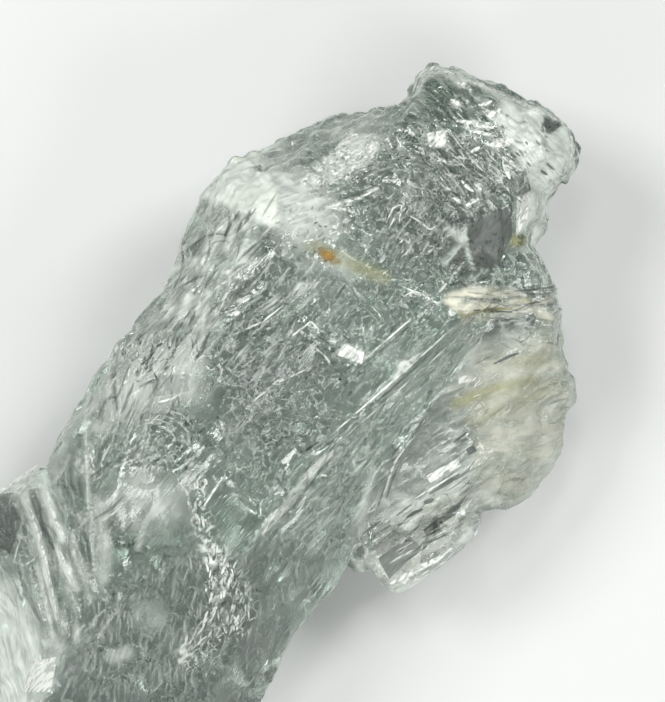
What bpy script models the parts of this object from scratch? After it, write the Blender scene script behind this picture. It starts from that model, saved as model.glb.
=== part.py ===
"""A rough aquamarine: an etched beryl prism with a knobbly head, an intergrown slab along its right
side, a block crystal under the slab and a broken lower end. It lies on its flattest prism face.

The long axis of the prism runs along Y with the head at +Y, X runs across it, and Z is up.
All sizes below are in millimetres, and become metres when a point goes into a mesh.
"""

import math

import bmesh
import bpy
from mathutils import Matrix, Vector, geometry, noise

MM = 0.001
NODE_NAME = "aquamarine_crystal"

# Driving heights of the prism and of the slab beside it
TOP_FACE = 16.0
RIM = 8.0
LOBE_TOP = 11.6
LOBE_RIM = 5.8

# How far the relief stands off or goes in, and the longest edge it is drawn with
SCALLOP_DEPTH = 0.75
RIDGE_HEIGHT = 0.75
FOLD_HEIGHT = 0.42
LUMP_HEIGHT = 0.42
LONGEST_EDGE = 1.85
SUBDIVISION_ROUNDS = 4

# Ribs of the prism from its broken lower end to its head. Each is
# (left x, left y), (right x, right y), share across where the top face starts and ends,
# height of the top face, of the left rim, of the right rim, and of the underside.
PRISM_RIBS = (
    ((-5.5, -36.4), (3.5, -37.2), 0.30, 0.70, 9.6, 6.8, 6.4, 3.4),
    ((-9.0, -33.4), (7.6, -35.0), 0.28, 0.72, 13.0, 7.2, 6.8, 1.2),
    ((-11.2, -28.5), (10.2, -29.2), 0.27, 0.74, 15.4, 7.6, 7.6, 0.0),
    ((-11.5, -23.2), (11.1, -22.6), 0.24, 0.75, TOP_FACE, 7.8, RIM, 0.0),
    ((-10.3, -19.4), (10.8, -18.6), 0.22, 0.74, TOP_FACE, 7.8, RIM, 0.0),
    ((-9.7, -17.6), (10.5, -16.9), 0.21, 0.73, TOP_FACE, 7.9, RIM, 0.0),
    ((-10.4, -15.0), (10.1, -14.6), 0.20, 0.72, TOP_FACE, RIM, RIM, 0.0),
    ((-11.0, -10.9), (9.8, -11.6), 0.20, 0.72, TOP_FACE, RIM, RIM, 0.0),
    ((-10.9, -6.5), (9.2, -8.2), 0.20, 0.73, TOP_FACE, RIM, RIM, 0.0),
    ((-10.9, -4.2), (8.8, -4.6), 0.20, 0.75, TOP_FACE, RIM, RIM, 0.0),
    ((-11.7, -2.2), (8.6, -1.0), 0.20, 0.77, TOP_FACE, 8.2, RIM, 0.0),
    ((-12.7, 0.4), (8.4, 3.2), 0.19, 0.80, TOP_FACE, 8.8, RIM, 0.0),
    ((-13.1, 3.4), (8.0, 7.2), 0.15, 0.84, 16.3, 9.6, RIM, 0.0),
    ((-12.9, 5.5), (7.6, 10.2), 0.17, 0.86, 15.6, 9.2, 8.2, 0.0),
    ((-11.7, 7.5), (7.0, 12.1), 0.20, 0.86, 14.6, 8.8, 8.2, 0.0),
    ((-11.2, 9.1), (6.0, 13.3), 0.22, 0.84, 14.2, 8.4, 8.2, 0.4),
    ((-9.8, 11.6), (5.5, 15.1), 0.22, 0.82, 14.2, 8.2, 8.2, 1.2),
    ((-8.3, 13.9), (4.6, 16.7), 0.22, 0.80, 14.0, 8.0, 8.0, 2.0),
    ((-7.2, 15.2), (4.5, 18.3), 0.20, 0.80, 13.8, 8.0, 8.0, 2.7),
    ((-7.5, 17.0), (4.3, 20.0), 0.20, 0.80, 13.0, 7.8, 7.8, 3.4),
    ((-7.3, 18.6), (3.6, 20.8), 0.24, 0.76, 11.6, 7.6, 7.8, 4.2),
    ((-5.9, 19.2), (2.0, 21.2), 0.30, 0.70, 9.8, 7.8, 8.0, 5.6),
)

# Ribs of the slab that grew along the prism's right side: y, x of its outer rim, x of its inner
# side, which lies inside the prism, height of its top, of its outer rim and of its underside.
LOBE_RIBS = (
    (-9.4, 10.2, 7.4, 8.2, 6.0, 4.6),
    (-7.6, 11.6, 6.4, 10.0, LOBE_RIM, 2.8),
    (-4.6, 13.2, 5.6, 10.8, LOBE_RIM, 2.2),
    (-2.2, 14.2, 5.4, LOBE_TOP, LOBE_RIM, 1.8),
    (-0.6, 15.6, 5.2, LOBE_TOP, LOBE_RIM, 1.6),
    (2.3, 16.1, 5.0, LOBE_TOP, LOBE_RIM, 1.4),
    (4.4, 15.8, 5.0, LOBE_TOP, 6.0, 1.4),
    (5.9, 14.6, 5.0, LOBE_TOP, 6.2, 1.4),
    (7.7, 14.2, 5.0, 12.0, 6.4, 1.6),
    (8.8, 13.2, 5.0, 12.3, 6.6, 1.8),
    (9.9, 11.3, 5.0, 12.6, 7.0, 2.0),
    (11.3, 10.0, 5.0, 12.6, 7.2, 2.4),
    (12.3, 8.7, 4.8, 12.2, 7.4, 3.0),
    (13.4, 6.5, 4.6, 11.0, 7.8, 4.4),
)

# The broken lower-left end is one oblique plane through these three points, drawn into ridges
BREAK_POINTS = (Vector((-9.2, -12.4, 16.0)), Vector((-1.0, -26.0, 16.0)), Vector((-11.2, -22.5, 7.4)))
RIDGE_DIRECTION = Vector((0.93, -0.36))
RIDGE_SPACING = 2.1

# The valley between the break and the body, seen from above, with its depth and half width
VALLEY = ((-9.8, -12.4), (-6.3, -16.2), (-2.6, -20.0), (-1.5, -22.6), (-1.4, -27.5))
VALLEY_DEPTH = 0.9
VALLEY_HALF_WIDTH = 1.7

# Crystals grown under the slab: name, centre, size across, along and up, turn from Y towards X,
# and bevel
BLOCK_TURN = math.radians(10.5)
ROD_TURN = math.radians(13.0)
BLOCKS = (
    ("block_crystal", (12.45, -5.75, 5.5), (3.8, 7.3, 5.6), BLOCK_TURN, 0.7),
    ("block_ledge", (13.5, -4.4, 7.3), (1.9, 4.6, 3.0), BLOCK_TURN, 0.4),
    ("inner_rod", (9.9, -5.6, 8.8), (1.2, 5.4, 3.4), ROD_TURN, 0.3),
    ("middle_rod", (11.4, -2.6, 9.4), (1.5, 7.2, 3.2), ROD_TURN, 0.4),
    ("outer_rod", (13.2, -1.2, 8.2), (1.6, 6.0, 3.0), ROD_TURN, 0.4),
)
KNOB_CENTRE, KNOB_RADIUS = (9.95, -9.5, 6.2), 0.8

# Growth steps cut into the top face: centre, size, turn about Z, and tilts about X and Y, which
# let each step run out to nothing on two of its sides
STEPS = (
    ("hopper_step", (-1.2, 1.9, 17.05), (4.6, 3.6, 2.6), math.radians(4.0), -0.055, 0.045),
    ("inner_step", (-0.2, 1.1, 17.0), (2.2, 1.9, 3.2), math.radians(4.0), -0.04, 0.03),
    ("left_step", (-4.6, -3.0, 17.1), (3.6, 5.2, 2.6), math.radians(-6.0), 0.05, -0.05),
    ("low_step", (1.0, -7.6, 17.1), (4.2, 6.4, 2.5), math.radians(2.0), 0.03, 0.05),
)

# Bowls left by conchoidal chips: centre of the bowl on the surface, reach across it, and depth
BOWLS = (
    (Vector((-5.4, -12.0, 15.6)), 5.4, 0.95),
    (Vector((-12.0, 8.2, 12.0)), 3.4, 0.6),
    (Vector((-3.5, 14.5, 13.6)), 3.4, 0.8),
    (Vector((5.4, -20.0, 14.6)), 4.4, 0.7),
    (Vector((13.0, 6.2, 9.5)), 2.8, 0.6),
    (Vector((14.6, -2.2, 6.5)), 1.5, 0.8),
    (Vector((11.2, 12.6, 8.0)), 1.8, 0.7),
    (Vector((-10.0, -4.0, 4.0)), 5.0, 0.7),
    (Vector((9.0, -27.0, 5.0)), 5.0, 0.8),
)

# Small flat faces: a point on the face, the way it looks, and how far it may reach
FACETS = (
    (Vector((3.0, 13.0, 13.75)), Vector((0.20, 0.12, 1.0)), 2.5),
    (Vector((2.3, 9.4, 14.7)), Vector((0.05, 0.45, 1.0)), 1.7),
    (Vector((1.2, 20.0, 11.3)), Vector((0.15, 0.75, 0.8)), 2.2),
    (Vector((-4.6, 18.0, 12.2)), Vector((-0.45, 0.45, 1.0)), 2.8),
    (Vector((-8.6, 9.6, 13.0)), Vector((-0.35, 0.5, 1.0)), 3.0),
    (Vector((-1.5, 16.6, 13.5)), Vector((-0.05, 0.12, 1.0)), 2.4),
    (Vector((8.6, 10.0, 11.9)), Vector((0.30, 0.25, 1.0)), 2.6),
    (Vector((12.0, 6.4, 10.3)), Vector((0.55, 0.18, 1.0)), 2.8),
    (Vector((11.0, 2.6, 10.9)), Vector((0.30, -0.10, 1.0)), 3.0),
    (Vector((14.7, 2.0, 7.6)), Vector((1.0, 0.10, 0.75)), 2.8),
    (Vector((13.9, -0.4, 9.2)), Vector((0.30, -0.50, 1.0)), 2.0),
    (Vector((15.4, 4.4, 5.0)), Vector((1.0, 0.35, -0.25)), 2.4),
    (Vector((12.8, 9.0, 7.4)), Vector((0.75, 0.75, 0.2)), 2.6),
    (Vector((12.0, 4.0, 2.4)), Vector((0.35, 0.15, -1.0)), 4.0),
    (Vector((0.8, -35.4, 9.5)), Vector((0.25, -0.80, 0.62)), 9.0),
    (Vector((-6.2, -34.0, 6.4)), Vector((-0.62, -0.78, 0.06)), 7.0),
    (Vector((3.4, -34.4, 3.6)), Vector((0.25, -0.60, -0.76)), 8.0),
    (Vector((9.4, -31.0, 7.5)), Vector((0.86, -0.46, 0.22)), 6.0),
    (Vector((-10.6, -9.0, 5.4)), Vector((-1.0, -0.10, -0.28)), 5.0),
    (Vector((0.0, 20.6, 6.4)), Vector((0.10, 0.92, -0.4)), 4.0),
)


def clear_scene():
    for thing in list(bpy.data.objects):
        bpy.data.objects.remove(thing)


def new_object(name, bm, collection):
    """An object made of the bmesh, whose points are in millimetres."""
    bmesh.ops.recalc_face_normals(bm, faces=bm.faces)
    bmesh.ops.scale(bm, vec=(MM, MM, MM), verts=bm.verts)
    mesh = bpy.data.meshes.new(name)
    bm.to_mesh(mesh)
    bm.free()
    thing = bpy.data.objects.new(name, mesh)
    collection.objects.link(thing)
    return thing


def as_cutter(thing):
    """A guide shape that isn't part of the stone itself."""
    thing.hide_render = True
    thing.display_type = "WIRE"
    return thing


def loft(rings):
    """A closed bmesh through rings of equal count, with a flat cap on each end."""
    bm = bmesh.new()
    rows = [[bm.verts.new(point) for point in ring] for ring in rings]
    for lower, upper in zip(rows, rows[1:]):
        for i in range(len(lower)):
            j = (i + 1) % len(lower)
            bm.faces.new((lower[i], lower[j], upper[j], upper[i]))
    bm.faces.new(rows[0][::-1])
    bm.faces.new(rows[-1])
    return bm


def prism_ring(rib):
    """The corners of one section of the prism: six-sided, with each flank broken once."""
    left, right, crest_left, crest_right, top, rim_left, rim_right, under = rib

    def corner(share, height):
        across = Vector(left).lerp(Vector(right), share)
        return (across.x, across.y, height)

    return (
        corner(0.0, rim_left),
        corner(0.42 * crest_left, rim_left + 0.66 * (top - rim_left)),
        corner(crest_left, top),
        corner(crest_right, top),
        corner(0.5 + 0.5 * crest_right, rim_right + 0.58 * (top - rim_right)),
        corner(1.0, rim_right),
        corner(0.93, under + 0.38 * (rim_right - under)),
        corner(0.76, under),
        corner(0.22, under),
        corner(0.06, under + 0.42 * (rim_left - under)),
    )


def lobe_ring(rib):
    """The corners of one section of the side slab, thin at its outer rim."""
    y, outer, inner, top, rim, under = rib
    width = outer - inner
    return (
        (inner, y, 0.5 * (top + under)),
        (inner + 0.10 * width, y, top),
        (inner + 0.58 * width, y, top - 0.7),
        (inner + 0.88 * width, y, rim + 0.5 * (top - rim)),
        (outer, y, rim),
        (inner + 0.86 * width, y, under + 0.45 * (rim - under)),
        (inner + 0.55 * width, y, under),
        (inner + 0.10 * width, y, under),
    )


def break_normal():
    first, second, third = BREAK_POINTS
    normal = (second - first).cross(third - first).normalized()
    return normal if normal.z > 0 else -normal


def cut_break(bm):
    """Takes off what lies above the oblique break and closes the cut."""
    everything = bm.verts[:] + bm.edges[:] + bm.faces[:]
    cut = bmesh.ops.bisect_plane(
        bm, geom=everything, plane_co=BREAK_POINTS[0], plane_no=break_normal(), clear_outer=True
    )
    rim = [e for e in cut["geom_cut"] if isinstance(e, bmesh.types.BMEdge)]
    bmesh.ops.edgenet_fill(bm, edges=rim)


def block_bmesh(centre, size, turn, bevel):
    """A rectangular crystal with bevelled edges, lying along Y before it is turned."""
    bm = bmesh.new()
    bmesh.ops.create_cube(bm, size=1.0)
    bmesh.ops.scale(bm, vec=size, verts=bm.verts)
    bmesh.ops.bevel(bm, geom=bm.edges[:], offset=bevel, segments=1, affect="EDGES")
    bmesh.ops.rotate(bm, matrix=Matrix.Rotation(-turn, 3, "Z"), verts=bm.verts)
    bmesh.ops.translate(bm, vec=centre, verts=bm.verts)
    return bm


def step_bmesh(centre, size, turn, tilt_x, tilt_y):
    """A box whose flat bottom leaves a growth step in the surface that it is cut from."""
    bm = bmesh.new()
    bmesh.ops.create_cube(bm, size=1.0)
    bmesh.ops.scale(bm, vec=size, verts=bm.verts)
    bmesh.ops.rotate(bm, matrix=Matrix.Rotation(tilt_x, 3, "X"), verts=bm.verts)
    bmesh.ops.rotate(bm, matrix=Matrix.Rotation(tilt_y, 3, "Y"), verts=bm.verts)
    bmesh.ops.rotate(bm, matrix=Matrix.Rotation(-turn, 3, "Z"), verts=bm.verts)
    bmesh.ops.translate(bm, vec=centre, verts=bm.verts)
    return bm


def knob_bmesh():
    """The small round knob where the slab ends against the prism."""
    bm = bmesh.new()
    bmesh.ops.create_icosphere(bm, subdivisions=2, radius=KNOB_RADIUS)
    bmesh.ops.translate(bm, vec=KNOB_CENTRE, verts=bm.verts)
    return bm


def boolean(thing, other, operation):
    modifier = thing.modifiers.new(f"{operation.lower()} {other.name}", "BOOLEAN")
    modifier.operation = operation
    modifier.solver = "EXACT"
    modifier.object = other


def evaluated_bmesh(thing):
    """What the modifiers make of the object, in millimetres."""
    graph = bpy.context.evaluated_depsgraph_get()
    mesh = bpy.data.meshes.new_from_object(thing.evaluated_get(graph))
    bm = bmesh.new()
    bm.from_mesh(mesh)
    bpy.data.meshes.remove(mesh)
    bmesh.ops.scale(bm, vec=(1 / MM,) * 3, verts=bm.verts)
    bmesh.ops.remove_doubles(bm, verts=bm.verts, dist=0.02)
    bmesh.ops.dissolve_degenerate(bm, edges=bm.edges, dist=0.02)
    return bm


def smoothstep(low, high, value):
    share = min(1.0, max(0.0, (value - low) / (high - low)))
    return share * share * (3.0 - 2.0 * share)


def scallops(point, normal):
    """Etched scallops over the head and its shoulder."""
    here = smoothstep(3.0, 9.0, point.y - 0.25 * point.x) * smoothstep(-0.3, 0.4, normal.z)
    nearest = noise.voronoi(Vector((point.x * 0.50, point.y * 0.30, point.z * 0.45)))[0][0]
    return SCALLOP_DEPTH * here * (0.9 * nearest**0.8 - 0.35)


def break_ridges(point, normal):
    """Curved ridges drawn across the oblique break."""
    depth = abs((point - BREAK_POINTS[0]).dot(break_normal()))
    here = 1.0 - smoothstep(0.05, 0.6, depth)
    here *= smoothstep(0.55, 0.8, normal.dot(break_normal()))
    across = point.x * RIDGE_DIRECTION.y - point.y * RIDGE_DIRECTION.x
    bend = 1.1 * noise.noise(Vector((point.x * 0.13, point.y * 0.13, 4.0)))
    bend -= 0.012 * (point.x + 9.0) ** 2 / RIDGE_SPACING
    ridge = abs(math.sin(math.pi * (across / RIDGE_SPACING + bend)))
    tall = 0.7 + 0.6 * noise.noise(point * 0.31)
    return RIDGE_HEIGHT * here * tall * (0.55 - ridge)


def flank_folds(point, normal):
    """Draped folds down the left flank."""
    here = smoothstep(0.35, 0.75, -normal.x) * smoothstep(-15.0, -9.0, point.y)
    bend = 0.9 * noise.noise(point * 0.22)
    fold = abs(math.sin(math.pi * (point.x * 0.25 + point.z * 0.42 + point.y * 0.2 + bend)))
    return FOLD_HEIGHT * here * (0.5 - fold)


def lumps(point, normal):
    """Uneven etching everywhere but on the flat top face."""
    flat = smoothstep(0.93, 0.995, normal.z) * smoothstep(TOP_FACE - 1.4, TOP_FACE - 0.6, point.z)
    flat *= 1.0 - smoothstep(2.0, 6.5, point.y - 0.18 * point.x)
    slab = smoothstep(8.0, 11.0, point.x) * smoothstep(-10.0, -7.0, point.y)
    coarse = noise.fractal(point * 0.24, 1.0, 2.1, 3)
    fine = noise.fractal(point * 0.75 + Vector((9.0, 2.0, 5.0)), 1.0, 2.0, 2)
    return LUMP_HEIGHT * (1.0 - flat) * (coarse + 0.9 * slab * fine)


def bowls(point):
    """Shallow hollows left by chips, their sides rising to nothing at the reach."""
    depth = 0.0
    for centre, reach, deepest in BOWLS:
        away = (point - centre).length / reach
        depth += deepest * max(0.0, 1.0 - away * away) ** 1.5
    return depth


def valley(point, normal):
    """The groove that runs between the break and the body."""
    nearest = VALLEY_HALF_WIDTH
    for start, end in zip(VALLEY, VALLEY[1:]):
        on_line, share = geometry.intersect_point_line(point.xy, Vector(start), Vector(end))
        on_line = Vector(start).lerp(Vector(end), min(1.0, max(0.0, share)))
        nearest = min(nearest, (point.xy - on_line).length)
    away = nearest / VALLEY_HALF_WIDTH
    return VALLEY_DEPTH * (1.0 - away * away) ** 1.5 * smoothstep(0.2, 0.6, normal.z)


def relief(point, normal):
    """How far the etched and broken surface stands off the plain crystal form."""
    height = scallops(point, normal) + break_ridges(point, normal)
    height += flank_folds(point, normal) + lumps(point, normal)
    height -= bowls(point) + valley(point, normal)
    resting = smoothstep(0.15, 1.6, point.z)
    return height * resting


def etch(bm):
    """Refines the surface above the resting face, then pushes it along its normals."""
    bmesh.ops.triangulate(bm, faces=bm.faces)
    for _ in range(SUBDIVISION_ROUNDS):
        long_edges = [
            edge
            for edge in bm.edges
            if edge.calc_length() > LONGEST_EDGE and (edge.verts[0].co.z + edge.verts[1].co.z) > 0.1
        ]
        bmesh.ops.subdivide_edges(bm, edges=long_edges, cuts=1, use_grid_fill=True)
        bmesh.ops.triangulate(bm, faces=bm.faces)
    bm.normal_update()
    moves = [(vert, vert.normal * relief(vert.co, vert.normal)) for vert in bm.verts]
    for vert, move in moves:
        vert.co += move


def press_flat(bm, point, normal, reach):
    """Brings down to a plane what stands above it near the point, with a crisp edge around it."""
    normal = normal.normalized()
    near = {vert for vert in bm.verts if (vert.co - point).length < reach}
    faces = [face for face in bm.faces if all(vert in near for vert in face.verts)]
    edges = {edge for face in faces for edge in face.edges}
    verts = {vert for face in faces for vert in face.verts}
    bmesh.ops.bisect_plane(
        bm, geom=list(verts) + list(edges) + faces, plane_co=point, plane_no=normal
    )
    for vert in bm.verts:
        height = (vert.co - point).dot(normal)
        if height > 0.0 and (vert.co - point).length < reach:
            vert.co -= normal * height


def stone_material():
    """Clear, very pale blue-green beryl."""
    material = bpy.data.materials.new("clear pale beryl")
    material.use_nodes = True
    shader = material.node_tree.nodes["Principled BSDF"]
    shader.inputs["Base Color"].default_value = (0.62, 0.74, 0.69, 1.0)
    shader.inputs["Roughness"].default_value = 0.12
    shader.inputs["Metallic"].default_value = 0.0
    shader.inputs["IOR"].default_value = 1.575
    shader.inputs["Transmission Weight"].default_value = 0.9
    return material


def build():
    """Makes the stone and returns the point of its growth frame that became the origin."""
    clear_scene()
    parts = bpy.data.collections.new("aquamarine")
    cutters = bpy.data.collections.new("growth and break shapes")
    bpy.context.scene.collection.children.link(parts)
    bpy.context.scene.collection.children.link(cutters)

    prism = loft([prism_ring(rib) for rib in PRISM_RIBS])
    cut_break(prism)
    whole = new_object("grown whole", prism, cutters)
    grown = [new_object("side_slab", loft([lobe_ring(rib) for rib in LOBE_RIBS]), cutters)]
    for name, centre, size, turn, bevel in BLOCKS:
        grown.append(new_object(name, block_bmesh(centre, size, turn, bevel), cutters))
    grown.append(new_object("knob", knob_bmesh(), cutters))
    for piece in grown:
        boolean(whole, as_cutter(piece), "UNION")
    for name, centre, size, turn, tilt_x, tilt_y in STEPS:
        cutter = new_object(name, step_bmesh(centre, size, turn, tilt_x, tilt_y), cutters)
        boolean(whole, as_cutter(cutter), "DIFFERENCE")
    as_cutter(whole)

    bm = evaluated_bmesh(whole)
    etch(bm)
    for point, normal, reach in FACETS:
        press_flat(bm, point, normal, reach)
    bmesh.ops.dissolve_degenerate(bm, edges=bm.edges, dist=0.04)
    bmesh.ops.triangulate(bm, faces=bm.faces)

    low = Vector(min(vert.co[i] for vert in bm.verts) for i in range(3))
    high = Vector(max(vert.co[i] for vert in bm.verts) for i in range(3))
    origin = Vector(((low.x + high.x) / 2, (low.y + high.y) / 2, low.z))
    bmesh.ops.translate(bm, vec=-origin, verts=bm.verts)
    stone = new_object(NODE_NAME, bm, parts)
    stone.data.materials.append(stone_material())
    return origin


origin = build()
print(f"origin at {origin.x:.3f}, {origin.y:.3f}, {origin.z:.3f} mm of the growth frame")
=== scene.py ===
# %% [markdown]
# # A rough aquamarine
# The stone is one clear, pale blue-green beryl crystal: a six-sided prism with an etched, knobbly
# head, a slab grown along one side, a small block crystal under the slab and a broken lower end.
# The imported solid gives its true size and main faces. This lesson adds what the solid leaves out:
# the etched relief of the skin, a clear body that tints the light, and the white veils, threads,
# fibres and iron stains that grew inside.

import itertools
import math

import bmesh
import bpy
import numpy as np
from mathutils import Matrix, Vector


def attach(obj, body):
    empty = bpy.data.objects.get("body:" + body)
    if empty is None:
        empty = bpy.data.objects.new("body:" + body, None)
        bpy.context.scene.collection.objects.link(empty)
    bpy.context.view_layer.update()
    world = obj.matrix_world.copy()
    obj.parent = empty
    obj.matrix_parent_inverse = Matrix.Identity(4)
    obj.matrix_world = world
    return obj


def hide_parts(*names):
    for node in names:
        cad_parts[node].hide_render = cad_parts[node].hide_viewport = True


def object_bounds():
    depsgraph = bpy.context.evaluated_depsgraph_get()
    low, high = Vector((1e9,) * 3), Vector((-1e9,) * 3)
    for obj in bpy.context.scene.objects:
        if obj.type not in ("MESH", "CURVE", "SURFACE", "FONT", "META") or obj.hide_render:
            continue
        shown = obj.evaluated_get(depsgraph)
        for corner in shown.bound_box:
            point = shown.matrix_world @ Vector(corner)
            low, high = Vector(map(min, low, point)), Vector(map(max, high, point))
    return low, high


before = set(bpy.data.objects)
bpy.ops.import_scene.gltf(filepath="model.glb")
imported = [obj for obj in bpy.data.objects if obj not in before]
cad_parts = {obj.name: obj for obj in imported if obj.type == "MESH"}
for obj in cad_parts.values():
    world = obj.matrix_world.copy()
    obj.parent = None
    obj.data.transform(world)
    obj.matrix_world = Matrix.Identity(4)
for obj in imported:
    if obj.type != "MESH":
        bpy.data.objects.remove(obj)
cad_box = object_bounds()

MM = 0.001
CAD_NODE = "aquamarine_crystal"
BODY = "root"
cad_size_mm = [round((high - low) / MM, 1) for low, high in zip(*cad_box)]
print("packed crystal, mm:", cad_size_mm)

# %% [markdown]
# ## The photograph's view
# The stone lies on a flat prism face and the camera looks straight down on it. In the picture the
# prism's axis rises at 50 degrees to the right. A pixel is 0.065 mm at mid-height of the stone.
# Two helpers turn pixels into places on the stone and back, so that every mark can be told by
# where it is seen, and still be laid on the skin that carries it.

# %% From pixels to the stone and back
PHOTO_SIZE = np.array([665.0, 702.0])
MM_PER_PIXEL = 0.065
AXIS_ANGLE = math.radians(50.0)
SEEN_CENTRE = np.array([-1.6, 8.02])
CENTRE_HEIGHT = 8.0
CAMERA_DISTANCE = 300.0
TURN = math.radians(90.0) - AXIS_ANGLE
RIGHTWARD = np.array([math.cos(TURN), math.sin(TURN)])
UPWARD = np.array([-math.sin(TURN), math.cos(TURN)])


def seen_at(points):
    """Pixel column and row of points in mm: their offset from the centre of view, measured along
    the picture's two directions, and enlarged as they rise towards the camera."""
    offset = points[:, :2] - SEEN_CENTRE
    closer = CAMERA_DISTANCE / (CAMERA_DISTANCE - (points[:, 2] - CENTRE_HEIGHT))
    column = PHOTO_SIZE[0] / 2 + offset @ RIGHTWARD * closer / MM_PER_PIXEL
    row = PHOTO_SIZE[1] / 2 - offset @ UPWARD * closer / MM_PER_PIXEL
    return column, row


def on_stone(columns, rows, height):
    """The places in mm that are seen at pixels and are this high above the floor."""
    height = np.asarray(height, float)
    closer = CAMERA_DISTANCE / (CAMERA_DISTANCE - (height - CENTRE_HEIGHT))
    right = (columns - PHOTO_SIZE[0] / 2) * MM_PER_PIXEL / closer
    up = (PHOTO_SIZE[1] / 2 - rows) * MM_PER_PIXEL / closer
    flat = SEEN_CENTRE + right[..., None] * RIGHTWARD + up[..., None] * UPWARD
    return np.concatenate([flat, height[..., None]], axis=-1)


print("the middle of the picture is over", on_stone(*PHOTO_SIZE / 2, CENTRE_HEIGHT))

# %% [markdown]
# ## Camera, floor and light
# A long lens close by is what a close-up of a small stone needs. The floor is plain and pale. Clear
# stone has little colour of its own: it shows what is around it, bent by its faces. So the sky is
# dim, and five broad soft boxes stand around and above the stone: each facet that is tilted half-way
# towards one of them turns white, and its neighbour stays dark.

# %% Camera
def new_object(name, data):
    """A named object in the scene."""
    made = bpy.data.objects.new(name, data)
    bpy.context.scene.collection.objects.link(made)
    return made


SENSOR = 36.0
camera_data = bpy.data.cameras.new("camera")
camera_data.sensor_width = SENSOR
camera_data.lens = SENSOR * CAMERA_DISTANCE / (PHOTO_SIZE[1] * MM_PER_PIXEL)
camera_data.clip_start, camera_data.clip_end = 0.01, 20.0
camera = new_object("camera", camera_data)
camera.location = (*(SEEN_CENTRE * MM), (CENTRE_HEIGHT + CAMERA_DISTANCE) * MM)
camera.rotation_euler = (0.0, 0.0, TURN)
bpy.context.scene.camera = camera
print("lens", round(camera_data.lens, 1), "mm")

# %% Floor
FLOOR_HALF = 3.0
FLOOR_DROP = 0.00002
floor_mesh = bpy.data.meshes.new("floor")
floor_mesh.from_pydata(
    [(-FLOOR_HALF, -FLOOR_HALF, 0), (FLOOR_HALF, -FLOOR_HALF, 0),
     (FLOOR_HALF, FLOOR_HALF, 0), (-FLOOR_HALF, FLOOR_HALF, 0)], [], [(0, 1, 2, 3)]
)
floor = new_object("floor", floor_mesh)
floor.location.z = -FLOOR_DROP
floor_material = bpy.data.materials.new("pale floor")
floor_material.use_nodes = True
floor_shader = floor_material.node_tree.nodes["Principled BSDF"]
floor_shader.inputs["Base Color"].default_value = (0.55, 0.56, 0.55, 1.0)
floor_shader.inputs["Roughness"].default_value = 0.9
floor_mesh.materials.append(floor_material)

# %% Lamps and sky
LAMP_DISTANCE = 0.6
LAMPS = {
    # direction in the picture and tilt from straight above in degrees, width in metres, radiance
    "left_key": (152.0, 40.0, 0.20, 15.0),
    "right_key": (38.0, 42.0, 0.20, 15.0),
    "top_soft": (100.0, 22.0, 0.12, 13.0),
    "low_right": (-42.0, 50.0, 0.22, 9.0),
    "low_left": (-138.0, 52.0, 0.22, 9.0),
}
for name, (turn_deg, tilt_deg, width, radiance) in LAMPS.items():
    lamp_data = bpy.data.lights.new(name, "AREA")
    lamp_data.shape = "SQUARE"
    lamp_data.size = width
    lamp_data.energy = radiance * math.pi * width * width
    lamp = new_object(name, lamp_data)
    turn, tilt = math.radians(turn_deg), math.radians(tilt_deg)
    sideways = math.sin(tilt) * (math.cos(turn) * RIGHTWARD + math.sin(turn) * UPWARD)
    lamp.location = (*(LAMP_DISTANCE * sideways), LAMP_DISTANCE * math.cos(tilt))
    lamp.rotation_euler = (-lamp.location).to_track_quat("-Z", "Y").to_euler()

SKY_STRENGTH = 0.40
SKY_STOPS = ((0.05, (0.12, 0.125, 0.13, 1.0)), (0.80, (1.0, 1.0, 1.0, 1.0)))
sky = bpy.data.worlds.new("soft sky")
bpy.context.scene.world = sky
sky.use_nodes = True
sky_nodes, sky_links = sky.node_tree.nodes, sky.node_tree.links
sky_light = sky_nodes["Background"]
sky_height = sky_nodes.new("ShaderNodeSeparateXYZ")
sky_ramp = sky_nodes.new("ShaderNodeValToRGB")
sky_place = sky_nodes.new("ShaderNodeTexCoord")
for stop, (position, colour) in zip(sky_ramp.color_ramp.elements, SKY_STOPS):
    stop.position = position
    stop.color = colour
sky_links.new(sky_place.outputs["Generated"], sky_height.inputs["Vector"])
sky_links.new(sky_height.outputs["Z"], sky_ramp.inputs["Fac"])
sky_links.new(sky_ramp.outputs["Color"], sky_light.inputs["Color"])
sky_light.inputs["Strength"].default_value = SKY_STRENGTH

scene = bpy.context.scene
scene.view_settings.view_transform = "Standard"
scene.cycles.use_denoising = True
scene.cycles.max_bounces = 6
scene.cycles.transmission_bounces = 6
scene.cycles.transparent_max_bounces = 12
scene.cycles.glossy_bounces = 4
scene.cycles.diffuse_bounces = 1
scene.cycles.sample_clamp_indirect = 6.0
scene.cycles.caustics_reflective = True
scene.cycles.caustics_refractive = True

# %% [markdown]
# ## Noise and masks as whole arrays
# Etching and veils are irregular, so they start from noise. Each helper takes all the points at
# once. Random numbers come from a fixed mixing of whole numbers, so the stone is the same on every
# run.

# %% Noise
HASH_PRIMES = (73856093, 19349663, 83492791)
SEED_STRIDE = 668265263
MIXING_FACTOR = 739982445
LOW_32_BITS = 0xFFFFFFFF
FAR_AWAY = 9.0


def scrambled(cell, seed):
    """A fixed random number from 0 to 1 for each whole-number cell: its coordinates times three
    primes, mixed bit by bit."""
    mixed = sum(cell[..., i] * HASH_PRIMES[i] for i in range(3)) + seed * SEED_STRIDE
    mixed = mixed & LOW_32_BITS
    for shift in (15, 13):
        mixed = ((mixed ^ (mixed >> shift)) * MIXING_FACTOR) & LOW_32_BITS
    return (mixed ^ (mixed >> 16)) / LOW_32_BITS


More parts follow.
